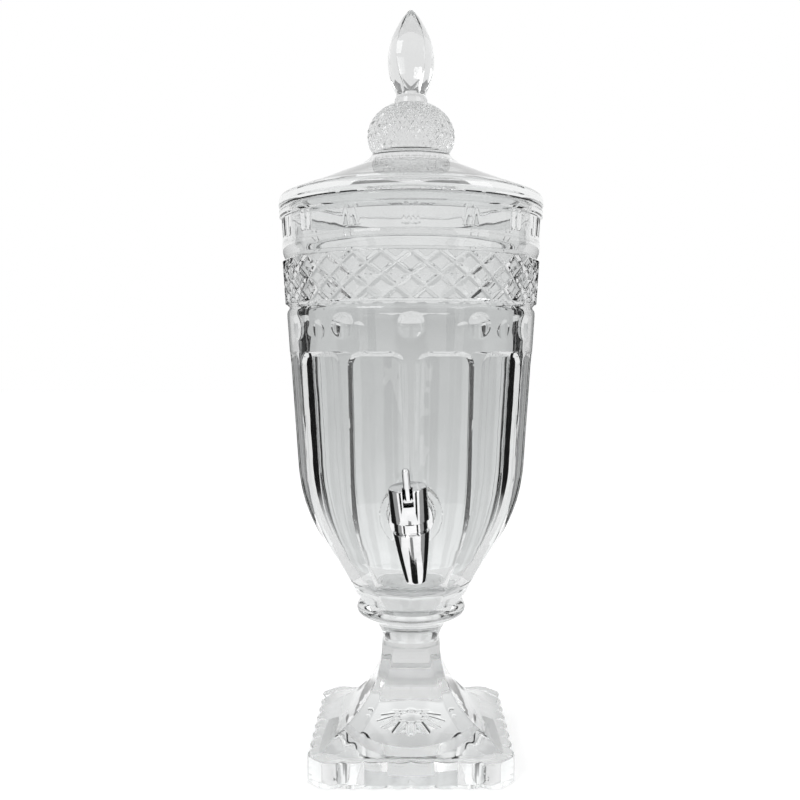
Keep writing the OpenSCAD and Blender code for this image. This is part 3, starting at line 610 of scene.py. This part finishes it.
def lid_rows(angles):
    """Rows of the lid's skin from the tip, over the cone, round the rim and in under it."""
    edge_z = RIM_Z + LID_RIM_H
    skirt_r = wall_at(RIM_Z - SKIRT_H) - WALL_T / math.cos(WALL_LEAN) - SKIRT_GAP
    inner_r = skirt_r - SKIRT_T
    lean = math.atan(LID_SLOPE)
    foot = KNOB_R + 9
    edge_r = LID_R - LID_EDGE
    foot_z = edge_z + (edge_r - foot) * LID_SLOPE
    blend_c = (foot + LID_BLEND_R * math.sin(lean), foot_z + LID_BLEND_R * math.cos(lean))
    start = math.radians(270) - lean
    blend = [(blend_c[0] + LID_BLEND_R * math.cos(a), blend_c[1] + LID_BLEND_R * math.sin(a))
             for a in np.linspace(start, start - LID_BLEND_TURN, 12)]
    knob_z = blend[-1][1] + KNOB_H * 0.5
    finial_z = knob_z + KNOB_H * 0.86 + 7.5
    # Cone and rounded rim.
    flat = blend[::-1]
    flat += [(foot + (edge_r - foot) * t, foot_z + (edge_z - foot_z) * t) for t in (0.25, 0.5, 0.75)]
    flat += [(edge_r, edge_z), (LID_R - 1.8, edge_z - 0.6), (LID_R - 0.9, edge_z - 1.5),
             (LID_R - 0.25, edge_z - 2.7), (LID_R, edge_z - 4), (LID_R, RIM_Z + 2.6),
             (LID_R - 0.2, RIM_Z + 1.6), (LID_R - 0.7, RIM_Z + 0.7), (LID_R - 1.4, RIM_Z + 0.2),
             (LID_R - 2.4, RIM_Z + 0.05)]
    # Locating skirt.
    flat += [(skirt_r + 0.3, RIM_Z + 0.05), (skirt_r, RIM_Z - 0.3), (skirt_r, RIM_Z - SKIRT_H + 1),
             (skirt_r - 1, RIM_Z - SKIRT_H), (inner_r + 1, RIM_Z - SKIRT_H),
             (inner_r, RIM_Z - SKIRT_H + 1)]
    # Hollow under the cone.
    under = inner_r - 46
    peak = foot_z - LID_T + (foot - under) * LID_SLOPE
    flat += [(inner_r, foot_z - LID_T + (foot - inner_r) * LID_SLOPE - 1.5),
             (inner_r - 1.5, foot_z - LID_T + (foot - inner_r + 1.5) * LID_SLOPE)]
    for t in (0.3, 0.6, 0.9, 0.97):
        r = inner_r + (under - inner_r) * t
        flat.append((r, peak - (r - under) * LID_SLOPE))
    flat += [(under - 2, peak + 0.1), (under * 0.5, peak + 0.1)]
    rows = finial_rows(angles, finial_z) + knob_rows(angles, knob_z)
    rows += [(np.full(angles.shape, r), z) for r, z in flat]
    return rows, finial_z - FINIAL_SINK + FINIAL_H * FINIAL_TIP, peak + 0.1


def make_lid():
    shell = Shell()
    angles = np.linspace(-math.pi, math.pi, LID_COLUMNS, endpoint=False)
    rows, tip_z, peak_z = lid_rows(angles)
    made = [shell.add(ring_points(angles, r, z)) for r, z in rows]
    for a, b in zip(made, made[1:]):
        shell.band(b, a)
    shell.close(made[0], (0, 0, tip_z))
    shell.close(made[-1], (0, 0, peak_z))
    return shell.mesh("lid_glass", sharp=24.0)


# Tap

# A radius so small that a revolved outline counts as closed on its axis
AXIS = 0.0001
BARREL_R = 10.25
BARREL_Z = -1.0
SPOUT_L = 33.0
SPOUT_SWELL = 0.9
SPOUT_R = 6.2
SPOUT_BORE = 4.5
CAP_R = 11.8
CAP_Z = 5.0
CAP_TOP = 25.5
SPIGOT_R = BARREL_R - 0.85
SPIGOT_TOP = 9.5
CAP_BORE = SPIGOT_R + 0.05
CAVITY_R = CAP_BORE - 0.75
GLAND_Z = 11.5
CHAMBER_R = 7.0
SEAT_W = -7.5
SHANK_R = 7.75
SHANK_BORE = 4.0
FLANGE_R = 14.0
FLANGE_T = 3.2
GASKET_T = 2.5
WASHER_T = 1.2
NUT_H = 7.0
SHANK_SPARE = 2.5
SHANK_END = PAD_T + GASKET_T + WASHER_T + NUT_H + SHANK_SPARE
SLOT_W = 6.3
SLOT_H = 9.6
PIN_V = -6.0
PIN_W = CAP_TOP - 7.5
PIN_R = 1.2
HUB_R = 2.4
LEVER_W = 4.6
LEVER_T = 4.2
LEVER_LEAN = math.radians(9.0)
LEVER_RISE = 13.5
LEVER_ARM = 6.0
TIP_R = 1.6
ARM_T = 1.4
REST_A = math.radians(-20.5)
PRONG_IN = 2.25
PRONG_OUT = 3.05
SPRING_R = 3.6
WIRE_R = 0.4
SPRING_TURNS = 5
SPRING_Z0 = -3.3
SPRING_Z1 = GLAND_Z - 4.5


def metres(matrix):
    """A placing in millimetres as one for meshes in metres."""
    out = matrix.copy()
    out.translation = matrix.translation * MM
    return out


TAP = pad_matrix(TAP_ROLL)
BARREL = TAP @ Matrix.Translation((0, -BARREL_REACH, 0))
ALONG_Y = Matrix.Rotation(math.radians(-90), 4, "X")
PIVOT = BARREL @ Matrix.Translation((0, PIN_V, PIN_W))
ACROSS = PIVOT @ Matrix.Rotation(math.radians(90), 4, "Y")


def cut(obj, other, how="DIFFERENCE"):
    """Applies one boolean and removes its tool."""
    step = obj.modifiers.new("cut", "BOOLEAN")
    step.operation = how
    step.solver = "EXACT"
    step.object = other
    bpy.context.view_layer.update()
    graph = bpy.context.evaluated_depsgraph_get()
    shape = bpy.data.meshes.new_from_object(obj.evaluated_get(graph))
    obj.modifiers.clear()
    old = obj.data
    obj.data = shape
    bpy.data.meshes.remove(old)
    bpy.data.objects.remove(other)
    obj.data.set_sharp_from_angle(angle=math.radians(32))


def block(name, low, high, matrix):
    (x0, y0, z0), (x1, y1, z1) = low, high
    shell = Shell()
    ends = [shell.add([(x0, y0, z), (x1, y0, z), (x1, y1, z), (x0, y1, z)]) for z in (z0, z1)]
    shell.skin(ends)
    shell.cap(ends)
    return shell.mesh(name, metres(matrix))


def rod(name, r, low, high, columns, matrix):
    shell = Shell()
    ends = revolve(shell, [(r, low), (r, high)], columns, closed=False)
    shell.cap(ends)
    return shell.mesh(name, metres(matrix))


def make_tap_body():
    rim = BARREL_R + SPOUT_SWELL
    top = BARREL_Z
    side = [(SPOUT_R + (rim - SPOUT_R) * (u + 0.25 * u * (1 - u)),
             top - SPOUT_L + 0.7 + (SPOUT_L - 2.1) * u) for u in np.linspace(0, 1, 22)]
    profile = [(SPOUT_BORE + 0.3, top - SPOUT_L), (SPOUT_R - 0.6, top - SPOUT_L),
               (SPOUT_R - 0.15, top - SPOUT_L + 0.25)]
    profile += side
    profile += [(rim - 0.3, top - 1.0), (BARREL_R - 0.8, top - 0.6), (BARREL_R - 0.8, top - 0.1),
                (BARREL_R - 0.2, top + 0.2), (BARREL_R, top + 0.5), (BARREL_R, CAP_Z - 0.7),
                (BARREL_R - 0.3, CAP_Z - 0.35), (SPIGOT_R, CAP_Z - 0.3), (SPIGOT_R, SPIGOT_TOP),
                (CHAMBER_R, SPIGOT_TOP), (CHAMBER_R, SEAT_W), (SPOUT_BORE, SEAT_W),
                (SPOUT_BORE, top - SPOUT_L + 0.3)]
    shell = Shell()
    revolve(shell, profile)
    body = shell.mesh("tap_body_chrome", metres(BARREL))
    f0, f1 = -GASKET_T - FLANGE_T, -GASKET_T
    neck = SHANK_R - 0.4
    outline = [(AXIS, -BARREL_REACH + 8), (neck, -BARREL_REACH + 8), (neck, f0 - 1.4)]
    outline += [(neck + 1.4 * (1 - math.cos(a)), f0 - 1.4 * (1 - math.sin(a)))
                for a in np.radians(np.linspace(20, 90, 6))]
    outline += [(FLANGE_R - 0.9, f0), (FLANGE_R - 0.25, f0 + 0.25), (FLANGE_R, f0 + 0.9),
                (FLANGE_R, f1 - 0.5), (FLANGE_R - 0.4, f1), (SHANK_R, f1)]
    outline += [(SHANK_R, SHANK_END - 0.6), (SHANK_R - 0.6, SHANK_END), (SHANK_BORE, SHANK_END),
                (SHANK_BORE, -BARREL_REACH + 9.5), (AXIS, -BARREL_REACH + 9.5)]
    shell = Shell()
    revolve(shell, outline)
    arm = shell.mesh("tap_arm", metres(TAP @ ALONG_Y))
    low = block("arm_trim", (-20, -BARREL_REACH, CAP_Z - 0.5), (20, -5.7, 20), TAP)
    cut(arm, low)
    cut(body, arm, "UNION")
    return body


def make_tap_cap():
    edge = 1.3
    top_edge = [(CAP_R - edge + edge * math.sin(a), CAP_TOP - edge + edge * math.cos(a))
                for a in np.radians(np.linspace(90, 0, 9))]
    profile = [(CAP_BORE, CAP_Z), (CAP_R - 0.4, CAP_Z), (CAP_R - 0.1, CAP_Z + 0.12),
               (CAP_R, CAP_Z + 0.4)]
    profile += top_edge
    profile += [(AXIS, CAP_TOP), (AXIS, CAP_TOP - 2), (CAVITY_R, CAP_TOP - 2),
                (CAVITY_R, GLAND_Z), (CAP_BORE, GLAND_Z)]
    shell = Shell()
    revolve(shell, profile)
    cap = shell.mesh("tap_cap_chrome", metres(BARREL))
    slot = block("slot", (-SLOT_W / 2, -2 * CAP_R, CAP_TOP - SLOT_H),
                 (SLOT_W / 2, PIN_V + HUB_R + 1, CAP_TOP + 1), BARREL)
    cut(cap, slot)
    cut(cap, rod("pin_hole", PIN_R, -2 * CAP_R, 2 * CAP_R, 32, ACROSS))
    return cap


def plate(name, outline, x0, x1, matrix):
    """A flat outline of (y, z) points given thickness across X."""
    shell = Shell()
    ends = [shell.add([(x, y, z) for y, z in outline]) for x in (x0, x1)]
    shell.skin(ends)
    shell.cap(ends)
    return shell.mesh(name, metres(matrix))


def soft_square(x):
    """Flattens the sides of a circle a little, given its sine or cosine."""
    return math.copysign(abs(x) ** 0.8, x)


def make_tap_lever():
    """An oval handle on a round hub, with the fork that lifts the valve stem."""
    top_w = CAP_TOP + LEVER_RISE - PIN_W
    half = LEVER_T / 2
    length = (top_w - half) / math.cos(LEVER_LEAN)
    c, s = math.cos(LEVER_LEAN), math.sin(LEVER_LEAN)

    def lean(v, w):
        return (v * c - w * s, v * s + w * c)

    round_turn = np.linspace(0, 2 * math.pi, 64, endpoint=False)

    def ring(w, size):
        """The handle's section at one height."""
        across, deep = (LEVER_W / 2 - 0.03) * size, half * size
        return [(across * soft_square(math.cos(a)), *lean(deep * soft_square(math.sin(a)), w))
                for a in round_turn]

    dome = LEVER_W / 2
    shoulder = length + half - dome
    shell = Shell()
    rings = [shell.add(ring(0.0, 1.0)), shell.add(ring(shoulder, 1.0))]
    rings += [shell.add(ring(shoulder + dome * math.sin(t), math.cos(t)))
              for t in np.radians(np.linspace(9, 86, 12))]
    shell.skin(rings)
    shell.faces.append(tuple(rings[0]))
    shell.close(rings[-1], (0, *lean(0, length + half)))
    lever = shell.mesh("tap_lever_chrome", metres(PIVOT))
    hub = plate("lever_hub", [(HUB_R * math.cos(a), HUB_R * math.sin(a)) for a in round_turn],
                -LEVER_W / 2, LEVER_W / 2, PIVOT)
    cut(lever, hub, "UNION")
    ca, sa = math.cos(REST_A), math.sin(REST_A)
    join = math.pi - math.asin(ARM_T / 2 / TIP_R)
    fork = [(0.5 * ca + ARM_T / 2 * sa, 0.5 * sa - ARM_T / 2 * ca)]
    fork += [(LEVER_ARM * ca + TIP_R * math.cos(a + REST_A),
              LEVER_ARM * sa + TIP_R * math.sin(a + REST_A)) for a in np.linspace(-join, join, 28)]
    fork += [(0.5 * ca - ARM_T / 2 * sa, 0.5 * sa + ARM_T / 2 * ca)]
    arm = plate("lever_fork", fork, -PRONG_OUT, PRONG_OUT, PIVOT)
    gap = block("fork_gap", (-PRONG_IN, HUB_R + 0.1, -CAP_R), (PRONG_IN, CAP_R, CAP_R),
                PIVOT @ Matrix.Rotation(REST_A, 4, "X"))
    cut(arm, gap)
    cut(lever, arm, "UNION")
    cut(lever, rod("lever_hole", PIN_R + 0.05, -CAP_R, CAP_R, 32, ACROSS))
    return lever


def make_lever_pin():
    """The pin's ends are dressed flush with the cap, so that they hardly show."""
    gap = 0.01
    pin = rod("lever_pin_chrome", PIN_R - gap, -CAP_R, CAP_R, 48, ACROSS)
    cut(pin, rod("pin_ends", CAP_R - gap, PIN_W - 3, PIN_W + 3, 256, BARREL), "INTERSECT")
    return pin


def make_valve_spring():
    shell = Shell()
    run = SPRING_Z1 - SPRING_Z0 - 2 * WIRE_R
    climb = run / (2 * math.pi * SPRING_TURNS)
    rings = []
    for t in np.linspace(0, 1, 32 * SPRING_TURNS + 1):
        a = 2 * math.pi * SPRING_TURNS * t
        out = Vector((math.cos(a), math.sin(a), 0))
        along = Vector((-SPRING_R * math.sin(a), SPRING_R * math.cos(a), climb))
        up = out.cross(along.normalized())
        middle = SPRING_R * out + Vector((0, 0, SPRING_Z0 + WIRE_R + run * t))
        rings.append(shell.add([middle + WIRE_R * (math.cos(b) * out + math.sin(b) * up)
                                for b in np.linspace(0, 2 * math.pi, 12, endpoint=False)]))
    shell.skin(rings)
    shell.cap(rings)
    return shell.mesh("valve_spring_steel", metres(BARREL))


# Materials

def material(name):
    mat = bpy.data.materials.new(name)
    mat.use_nodes = True
    nodes = mat.node_tree.nodes
    return mat, nodes, mat.node_tree.links, nodes["Principled BSDF"]


def noise(nodes, links, scale, detail=3.0, rough=0.5):
    place = nodes.new("ShaderNodeTexCoord")
    tex = nodes.new("ShaderNodeTexNoise")
    tex.inputs["Scale"].default_value = scale
    tex.inputs["Detail"].default_value = detail
    tex.inputs["Roughness"].default_value = rough
    links.new(place.outputs["Object"], tex.inputs["Vector"])
    return tex


def ranged(nodes, links, source, low, high, start=0.35, end=0.65):
    ramp = nodes.new("ShaderNodeMapRange")
    ramp.inputs["From Min"].default_value = start
    ramp.inputs["From Max"].default_value = end
    ramp.inputs["To Min"].default_value = low
    ramp.inputs["To Max"].default_value = high
    links.new(source, ramp.inputs["Value"])
    return ramp.outputs["Result"]


def mixed(nodes, links, source, low, high, start=0.35, end=0.65):
    ramp = nodes.new("ShaderNodeValToRGB")
    ramp.color_ramp.elements[0].position = start
    ramp.color_ramp.elements[1].position = end
    ramp.color_ramp.elements[0].color = (*low, 1)
    ramp.color_ramp.elements[1].color = (*high, 1)
    links.new(source, ramp.inputs["Fac"])
    return ramp.outputs["Color"]


def bumped(nodes, links, shader, source, distance, strength=1.0):
    bump = nodes.new("ShaderNodeBump")
    bump.inputs["Strength"].default_value = strength
    bump.inputs["Distance"].default_value = distance
    links.new(source, bump.inputs["Height"])
    links.new(bump.outputs["Normal"], shader.inputs["Normal"])


def height(nodes, links):
    place = nodes.new("ShaderNodeTexCoord")
    apart = nodes.new("ShaderNodeSeparateXYZ")
    links.new(place.outputs["Object"], apart.inputs["Vector"])
    return apart.outputs["Z"]


def shade_by_height(nodes, links, height_shades):
    """A shade that changes with height, given as pairs of height and shade."""
    low, high = height_shades[0][0], height_shades[-1][0]
    part = ranged(nodes, links, height(nodes, links), 0.0, 1.0, low * MM, high * MM)
    ramp = nodes.new("ShaderNodeValToRGB")
    stops = ramp.color_ramp.elements
    while len(stops) < len(height_shades):
        stops.new(0.5)
    for stop, (z, shade) in zip(stops, height_shades):
        stop.position = (z - low) / (high - low)
        stop.color = (shade * 0.992, shade, shade, 1)
    links.new(part, ramp.inputs["Fac"])
    return ramp.outputs["Color"]


# Ray depths between the near wall and what lies behind it
NEAR_DEPTH, FAR_DEPTH = 1.4, 1.6
# Heights between which the glass behind the near wall changes how much it bends light
BEND_LOW, BEND_HIGH = 0.30, 0.345


def glass_material(name, height_shades, wave, near, far):
    """Pressed glass: painted shade in its colour, darker at some heights than others, a faint random
    cloudiness, and the slow waves a mould leaves.
    """
    mat, nodes, links, shader = material(name)
    shader.inputs["Transmission Weight"].default_value = 1.0
    slow = noise(nodes, links, 38.0, 2.0)
    cloud = mixed(nodes, links, slow.outputs["Fac"], (0.975, 0.975, 0.975), (1.0, 1.0, 1.0))
    both = nodes.new("ShaderNodeMix")
    both.data_type = "RGBA"
    both.blend_type = "MULTIPLY"
    both.inputs[0].default_value = 1.0
    # Painted shade: the glass colour is darkened by height, then multiplied with the random cloudiness.
    links.new(shade_by_height(nodes, links, height_shades), both.inputs[6])
    links.new(cloud, both.inputs[7])
    links.new(both.outputs[2], shader.inputs["Base Color"])
    links.new(ranged(nodes, links, slow.outputs["Fac"], 0.0, 0.012), shader.inputs["Roughness"])
    bumped(nodes, links, shader, slow.outputs["Fac"], wave)
    # The near wall bends light fully; what lies behind it, seen through it, bends it less.
    path = nodes.new("ShaderNodeLightPath")
    depth = path.outputs["Ray Depth"]
    bend = ranged(nodes, links, depth, near, 0.0, NEAR_DEPTH, FAR_DEPTH)
    behind = ranged(nodes, links, depth, 0.0, 1.0, NEAR_DEPTH, FAR_DEPTH)
    less = ranged(nodes, links, height(nodes, links), far[0], far[1], BEND_LOW, BEND_HIGH)
    index = nodes.new("ShaderNodeMath")
    index.operation = "MULTIPLY_ADD"
    for source, socket in zip((behind, less, bend), index.inputs):
        links.new(source, socket)
    shader.inputs["IOR"].default_value = near
    links.new(index.outputs[0], shader.inputs["IOR"])
    return mat


def chrome_material():
    mat, nodes, links, shader = material("bright_chrome")
    shader.inputs["Metallic"].default_value = 1.0
    cloud = noise(nodes, links, 220.0, 4.0)
    links.new(mixed(nodes, links, cloud.outputs["Fac"], (0.74, 0.745, 0.75), (0.82, 0.82, 0.825)),
              shader.inputs["Base Color"])
    links.new(ranged(nodes, links, cloud.outputs["Fac"], 0.05, 0.10), shader.inputs["Roughness"])
    bumped(nodes, links, shader, cloud.outputs["Fac"], 0.00002)
    return mat


def steel_material(name, low, high):
    mat, nodes, links, shader = material(name)
    shader.inputs["Metallic"].default_value = 1.0
    grain = noise(nodes, links, 900.0, 3.0)
    links.new(mixed(nodes, links, grain.outputs["Fac"], low, high), shader.inputs["Base Color"])
    links.new(ranged(nodes, links, grain.outputs["Fac"], 0.22, 0.36), shader.inputs["Roughness"])
    bumped(nodes, links, shader, grain.outputs["Fac"], 0.00002)
    return mat


def soft_material(name, low, high, rough):
    """Rubber and moulded plastic: a fine matt skin with slight mottling."""
    mat, nodes, links, shader = material(name)
    grain = noise(nodes, links, 700.0, 4.0)
    links.new(mixed(nodes, links, grain.outputs["Fac"], low, high), shader.inputs["Base Color"])
    links.new(ranged(nodes, links, grain.outputs["Fac"], rough - 0.06, rough + 0.06),
              shader.inputs["Roughness"])
    bumped(nodes, links, shader, grain.outputs["Fac"], 0.00003)
    return mat


def dress(obj, mat):
    obj.data.materials.clear()
    obj.data.materials.append(mat)


# Painted shade in the glass colour: pairs of height in millimetres and how dark the glass is painted
# there.
VESSEL_PAINTED_SHADE = ((100, 0.88), (300, 0.85), (345, 0.82), (380, 0.82))
FOOT_PAINTED_SHADE = ((0, 0.90), (30, 0.94), (50, 0.80), (75, 0.68), (105, 0.86))
LID_PAINTED_SHADE = ((366, 0.90), (400, 0.90), (420, 0.70), (445, 0.72), (520, 0.78))
VESSEL_GLASS = glass_material("vessel_glass", VESSEL_PAINTED_SHADE, wave=0.00025, near=1.5, far=(1.12, 1.28))
FOOT_GLASS = glass_material("foot_glass", FOOT_PAINTED_SHADE, wave=0.0002, near=1.45, far=(1.12, 1.12))
LID_GLASS = glass_material("lid_glass", LID_PAINTED_SHADE, wave=0.0002, near=1.5, far=(1.25, 1.25))
CHROME = chrome_material()
STEEL = steel_material("steel", (0.5, 0.51, 0.52), (0.68, 0.68, 0.69))
PALE_RUBBER = soft_material("pale_rubber", (0.78, 0.78, 0.75), (0.86, 0.86, 0.83), 0.5)
PALE_PLASTIC = soft_material("pale_plastic", (0.8, 0.8, 0.77), (0.87, 0.87, 0.85), 0.38)
DARK_RUBBER = soft_material("dark_rubber", (0.02, 0.02, 0.022), (0.035, 0.035, 0.037), 0.55)

MADE = (
    (make_vessel, "dispenser", "vessel", "clear_glass", VESSEL_GLASS),
    (make_pedestal, "dispenser", "pedestal", "clear_glass", FOOT_GLASS),
    (make_lid, "lid", "lid", "clear_glass", LID_GLASS),
    (make_tap_body, "dispenser", "tap_body", "bright_chrome", CHROME),
    (make_tap_cap, "dispenser", "tap_cap", "bright_chrome", CHROME),
    (make_tap_lever, "lever", "tap_lever", "bright_chrome", CHROME),
    (make_lever_pin, "dispenser", "lever_pin", "bright_chrome", CHROME),
    (make_valve_spring, "dispenser", "valve_spring", "steel", STEEL),
)
for make, body, node, slot, mat in MADE:
    piece = make()
    dress(piece, mat)
    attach(piece, body)
    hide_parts(node)
    if node == "valve_spring":
        # The rising stem presses the spring against the guide disc; here the spring only gets a mesh of
        # its own.
        metres(BARREL) @ (Vector((0, 0, SPRING_Z1)) * MM)
        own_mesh(piece)

KEPT = {
    "valve_stem": STEEL, "shank_nut": STEEL,
    "valve_seal": PALE_RUBBER, "outer_gasket": PALE_RUBBER, "inner_gasket": PALE_RUBBER,
    "inner_washer": PALE_PLASTIC, "stem_gland": PALE_PLASTIC,
    "stem_oring": DARK_RUBBER, "cap_seal": DARK_RUBBER,
}
for node, mat in KEPT.items():
    dress(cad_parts[node], mat)


# Studio

def plane(name, size, matrix):
    data = bpy.data.meshes.new(name)
    x, y = size[0] / 2, size[1] / 2
    data.from_pydata([(-x, -y, 0), (x, -y, 0), (x, y, 0), (-x, y, 0)], [], [(0, 1, 2, 3)])
    obj = placed(name, data)
    obj.matrix_world = matrix
    return obj


def area_light(name, place, target, size, power):
    data = bpy.data.lights.new(name, "AREA")
    data.shape = "RECTANGLE"
    data.size, data.size_y = size
    data.energy = power
    obj = placed(name, data)
    obj.location = place
    obj.rotation_euler = (Vector(target) - Vector(place)).to_track_quat("-Z", "Y").to_euler()


def seen_by_eye(nodes, links):
    """1 on rays from the camera and on those that glass and metal pass on."""
    path = nodes.new("ShaderNodeLightPath")
    last = path.outputs["Is Camera Ray"]
    for name in ("Is Glossy Ray", "Is Transmission Ray"):
        either = nodes.new("ShaderNodeMath")
        either.operation = "MAXIMUM"
        links.new(last, either.inputs[0])
        links.new(path.outputs[name], either.inputs[1])
        last = either.outputs[0]
    return last


# How much the floor is lifted towards white, seen plainly and seen through the glass
FLOOR_LIFT = 0.3
FLOOR_THROUGH = 0.15


def floor_material():
    """Pale floor that reads as white where it is lit and still takes the shadow."""
    mat, nodes, links, shader = material("floor")
    cloud = noise(nodes, links, 3.0, 2.0)
    links.new(mixed(nodes, links, cloud.outputs["Fac"], (0.9, 0.9, 0.9), (0.92, 0.92, 0.92)),
              shader.inputs["Base Color"])
    shader.inputs["Roughness"].default_value = 0.7
    shader.inputs["Emission Color"].default_value = (1, 1, 1, 1)
    path = nodes.new("ShaderNodeLightPath")
    through = ranged(nodes, links, path.outputs["Is Transmission Ray"],
                     FLOOR_LIFT, FLOOR_THROUGH, 0.0, 1.0)
    lift = nodes.new("ShaderNodeMath")
    lift.operation = "MULTIPLY"
    links.new(seen_by_eye(nodes, links), lift.inputs[0])
    links.new(through, lift.inputs[1])
    links.new(lift.outputs[0], shader.inputs["Emission Strength"])
    return mat


def card_material(name, height_shades):
    """A card that glows: painted light set by height, swelling and dimming in soft upright bands."""
    mat, nodes, links, shader = material(name)
    shader.inputs["Base Color"].default_value = (0, 0, 0, 1)
    shader.inputs["Specular IOR Level"].default_value = 0.0
    glow_bands = nodes.new("ShaderNodeTexWave")
    glow_bands.bands_direction = "X"
    glow_bands.inputs["Scale"].default_value = 4.5
    glow_bands.inputs["Distortion"].default_value = 0.8
    glow_bands.inputs["Detail Scale"].default_value = 3.0
    place = nodes.new("ShaderNodeTexCoord")
    links.new(place.outputs["Object"], glow_bands.inputs["Vector"])
    links.new(shade_by_height(nodes, links, height_shades), shader.inputs["Emission Color"])
    # Painted light: the glow's strength rises and falls in upright bands.
    links.new(ranged(nodes, links, glow_bands.outputs["Fac"], 0.92, 1.03), shader.inputs["Emission Strength"])
    return mat


def arc(start, end, far):
    """Plan of a card bent round the object, from one angle behind it to another."""
    return [(far * math.sin(a), far * math.cos(a)) for a in np.radians(np.linspace(start, end, 17))]


def only_in(obj, through):
    """Lets an object show through glass alone, or else in metal alone."""
    obj.visible_camera = False
    obj.visible_shadow = False
    obj.visible_diffuse = False
    obj.visible_transmission = through
    obj.visible_glossy = not through


def card(name, plan, low, high, mat, through):
    """A standing card that shows through glass, or else only in metal."""
    n = len(plan)
    points = [(x, y, z) for z in (low, high) for x, y in plan]
    faces = [(k, k + 1, k + n + 1, k + n) for k in range(n - 1)]
    data = bpy.data.meshes.new(name)
    data.from_pydata(points, [], faces)
    obj = placed(name, data)
    only_in(obj, through)
    dress(obj, mat)


def make_world():
    world = bpy.data.worlds.new("studio")
    bpy.context.scene.world = world
    world.use_nodes = True
    nodes, links = world.node_tree.nodes, world.node_tree.links
    light = nodes["Background"]
    light.inputs["Color"].default_value = (1, 1, 1, 1)
    light.inputs["Strength"].default_value = 0.75
    white = nodes.new("ShaderNodeBackground")
    white.inputs["Color"].default_value = (1, 1, 1, 1)
    white.inputs["Strength"].default_value = 1.0
    mix = nodes.new("ShaderNodeMixShader")
    links.new(seen_by_eye(nodes, links), mix.inputs["Fac"])
    links.new(light.outputs[0], mix.inputs[1])
    links.new(white.outputs[0], mix.inputs[2])
    links.new(mix.outputs[0], nodes["World Output"].inputs["Surface"])


# Shades by height
BACK = ((0, 1.2), (40, 1.12), (130, 0.88), (205, 0.76), (270, 0.74), (316, 0.64))
PALE = ((0, 1.1), (40, 1.04), (130, 0.92), (205, 0.82), (270, 0.80), (316, 0.74))
DARK = ((0, 0.012), (600, 0.012))
FADE = ((0, 0.65), (20, 0.6), (60, 0.25), (100, 0.03), (145, 0.012), (330, 0.012))
LOW_FADE = ((50, 0.6), (75, 0.12), (95, 0.012), (150, 0.012))
SIDE = ((0, 0.9), (60, 0.7), (95, 0.3), (115, 0.03), (135, 0.012), (600, 0.012))
GREY = ((0, 0.36), (600, 0.36))
DIM = ((0, 0.3), (900, 0.3))
# Cards behind and beside the object, out of the picture, in metres: plan, low and high edge, shades
# and whether they show through glass or in metal. All but the first have a twin on the left.
CARD_R = 0.28
CARD_LAYER = 0.001
SIDE_X = 0.11
CARDS = (
    (arc(-11, 11, CARD_R), 0.002, 0.316, BACK, True),
    (arc(11, 29, CARD_R), 0.002, 0.316, PALE, True),
    (arc(40, 66, CARD_R), 0.002, 0.316, BACK, True),
    (arc(29, 40, CARD_R + CARD_LAYER), 0.002, 0.305, FADE, True),
    (arc(39, 47, CARD_R - CARD_LAYER), 0.05, 0.15, LOW_FADE, True),
    (arc(80.5, 90.5, CARD_R + CARD_LAYER), 0.004, 0.37, SIDE, True),
    (arc(92.5, 94.5, CARD_R + CARD_LAYER), 0.05, 0.30, DARK, True),
    ([(SIDE_X, -0.088), (SIDE_X, 0.15)], 0.04, 0.35, DARK, False),
    ([(SIDE_X, -0.149), (SIDE_X, -0.088)], 0.085, 0.35, GREY, False),
    ([(SIDE_X, -0.226), (SIDE_X, -0.183)], 0.085, 0.35, DARK, False),
)
# Strips on the floor before the object, mirrored in the tap: size, place along Y, shades
STRIPS = (((0.16, 0.075), -0.21, DARK), ((0.07, 0.06), -0.28, DIM))


def make_studio():
    floor = plane("floor", (12, 12), Matrix.Translation((0, 0, -0.0002)))
    dress(floor, floor_material())
    for k, (plan, low, high, height_shades, through) in enumerate(CARDS):
        mat = card_material("card_%d" % k, height_shades)
        for side in (-1, 1) if k else (1,):
            turned = [(x * side, y) for x, y in plan]
            card("card_%d_%d" % (k, side + 1), turned, low, high, mat, through)
    roof = plane("roof", (0.5, 0.5), Matrix.Translation((0, 0.1, 0.80)))
    dress(roof, card_material("roof", DIM))
    only_in(roof, True)
    for k, (size, far, height_shades) in enumerate(STRIPS):
        strip = plane("strip_%d" % k, size, Matrix.Translation((0, far, 0.0005)))
        dress(strip, card_material("strip_%d" % k, height_shades))
        only_in(strip, False)
    area_light("key", (-1.3, -1.6, 1.7), (0, 0, 0.3), (1.0, 1.0), 14)
    area_light("fill", (1.7, -1.2, 1.1), (0, 0, 0.25), (1.2, 1.2), 8)


# Camera: set from where the photograph's edges meet the axis of the object.
PIXEL_MM = 0.7075
AXIS_X = 411.0
BASE_Y = 744.0
CAM_PIXELS = 910.0
HORIZON_Y = 354.0
IMAGE = 800.0


def make_camera():
    data = bpy.data.cameras.new("camera")
    data.sensor_width = 36.0
    data.lens = 36.0 * CAM_PIXELS / IMAGE
    cam = placed("camera", data)
    distance = CAM_PIXELS * PIXEL_MM * MM
    cam.location = (0, -distance, (BASE_Y - HORIZON_Y) * PIXEL_MM * MM)
    cam.rotation_euler = (math.radians(90), 0, 0)
    data.shift_x = -(AXIS_X - IMAGE / 2) / IMAGE
    data.shift_y = -(IMAGE / 2 - HORIZON_Y) / IMAGE
    data.clip_end = 50
    bpy.context.scene.camera = cam


make_world()
make_studio()
make_camera()
bpy.context.scene.view_settings.view_transform = "Standard"
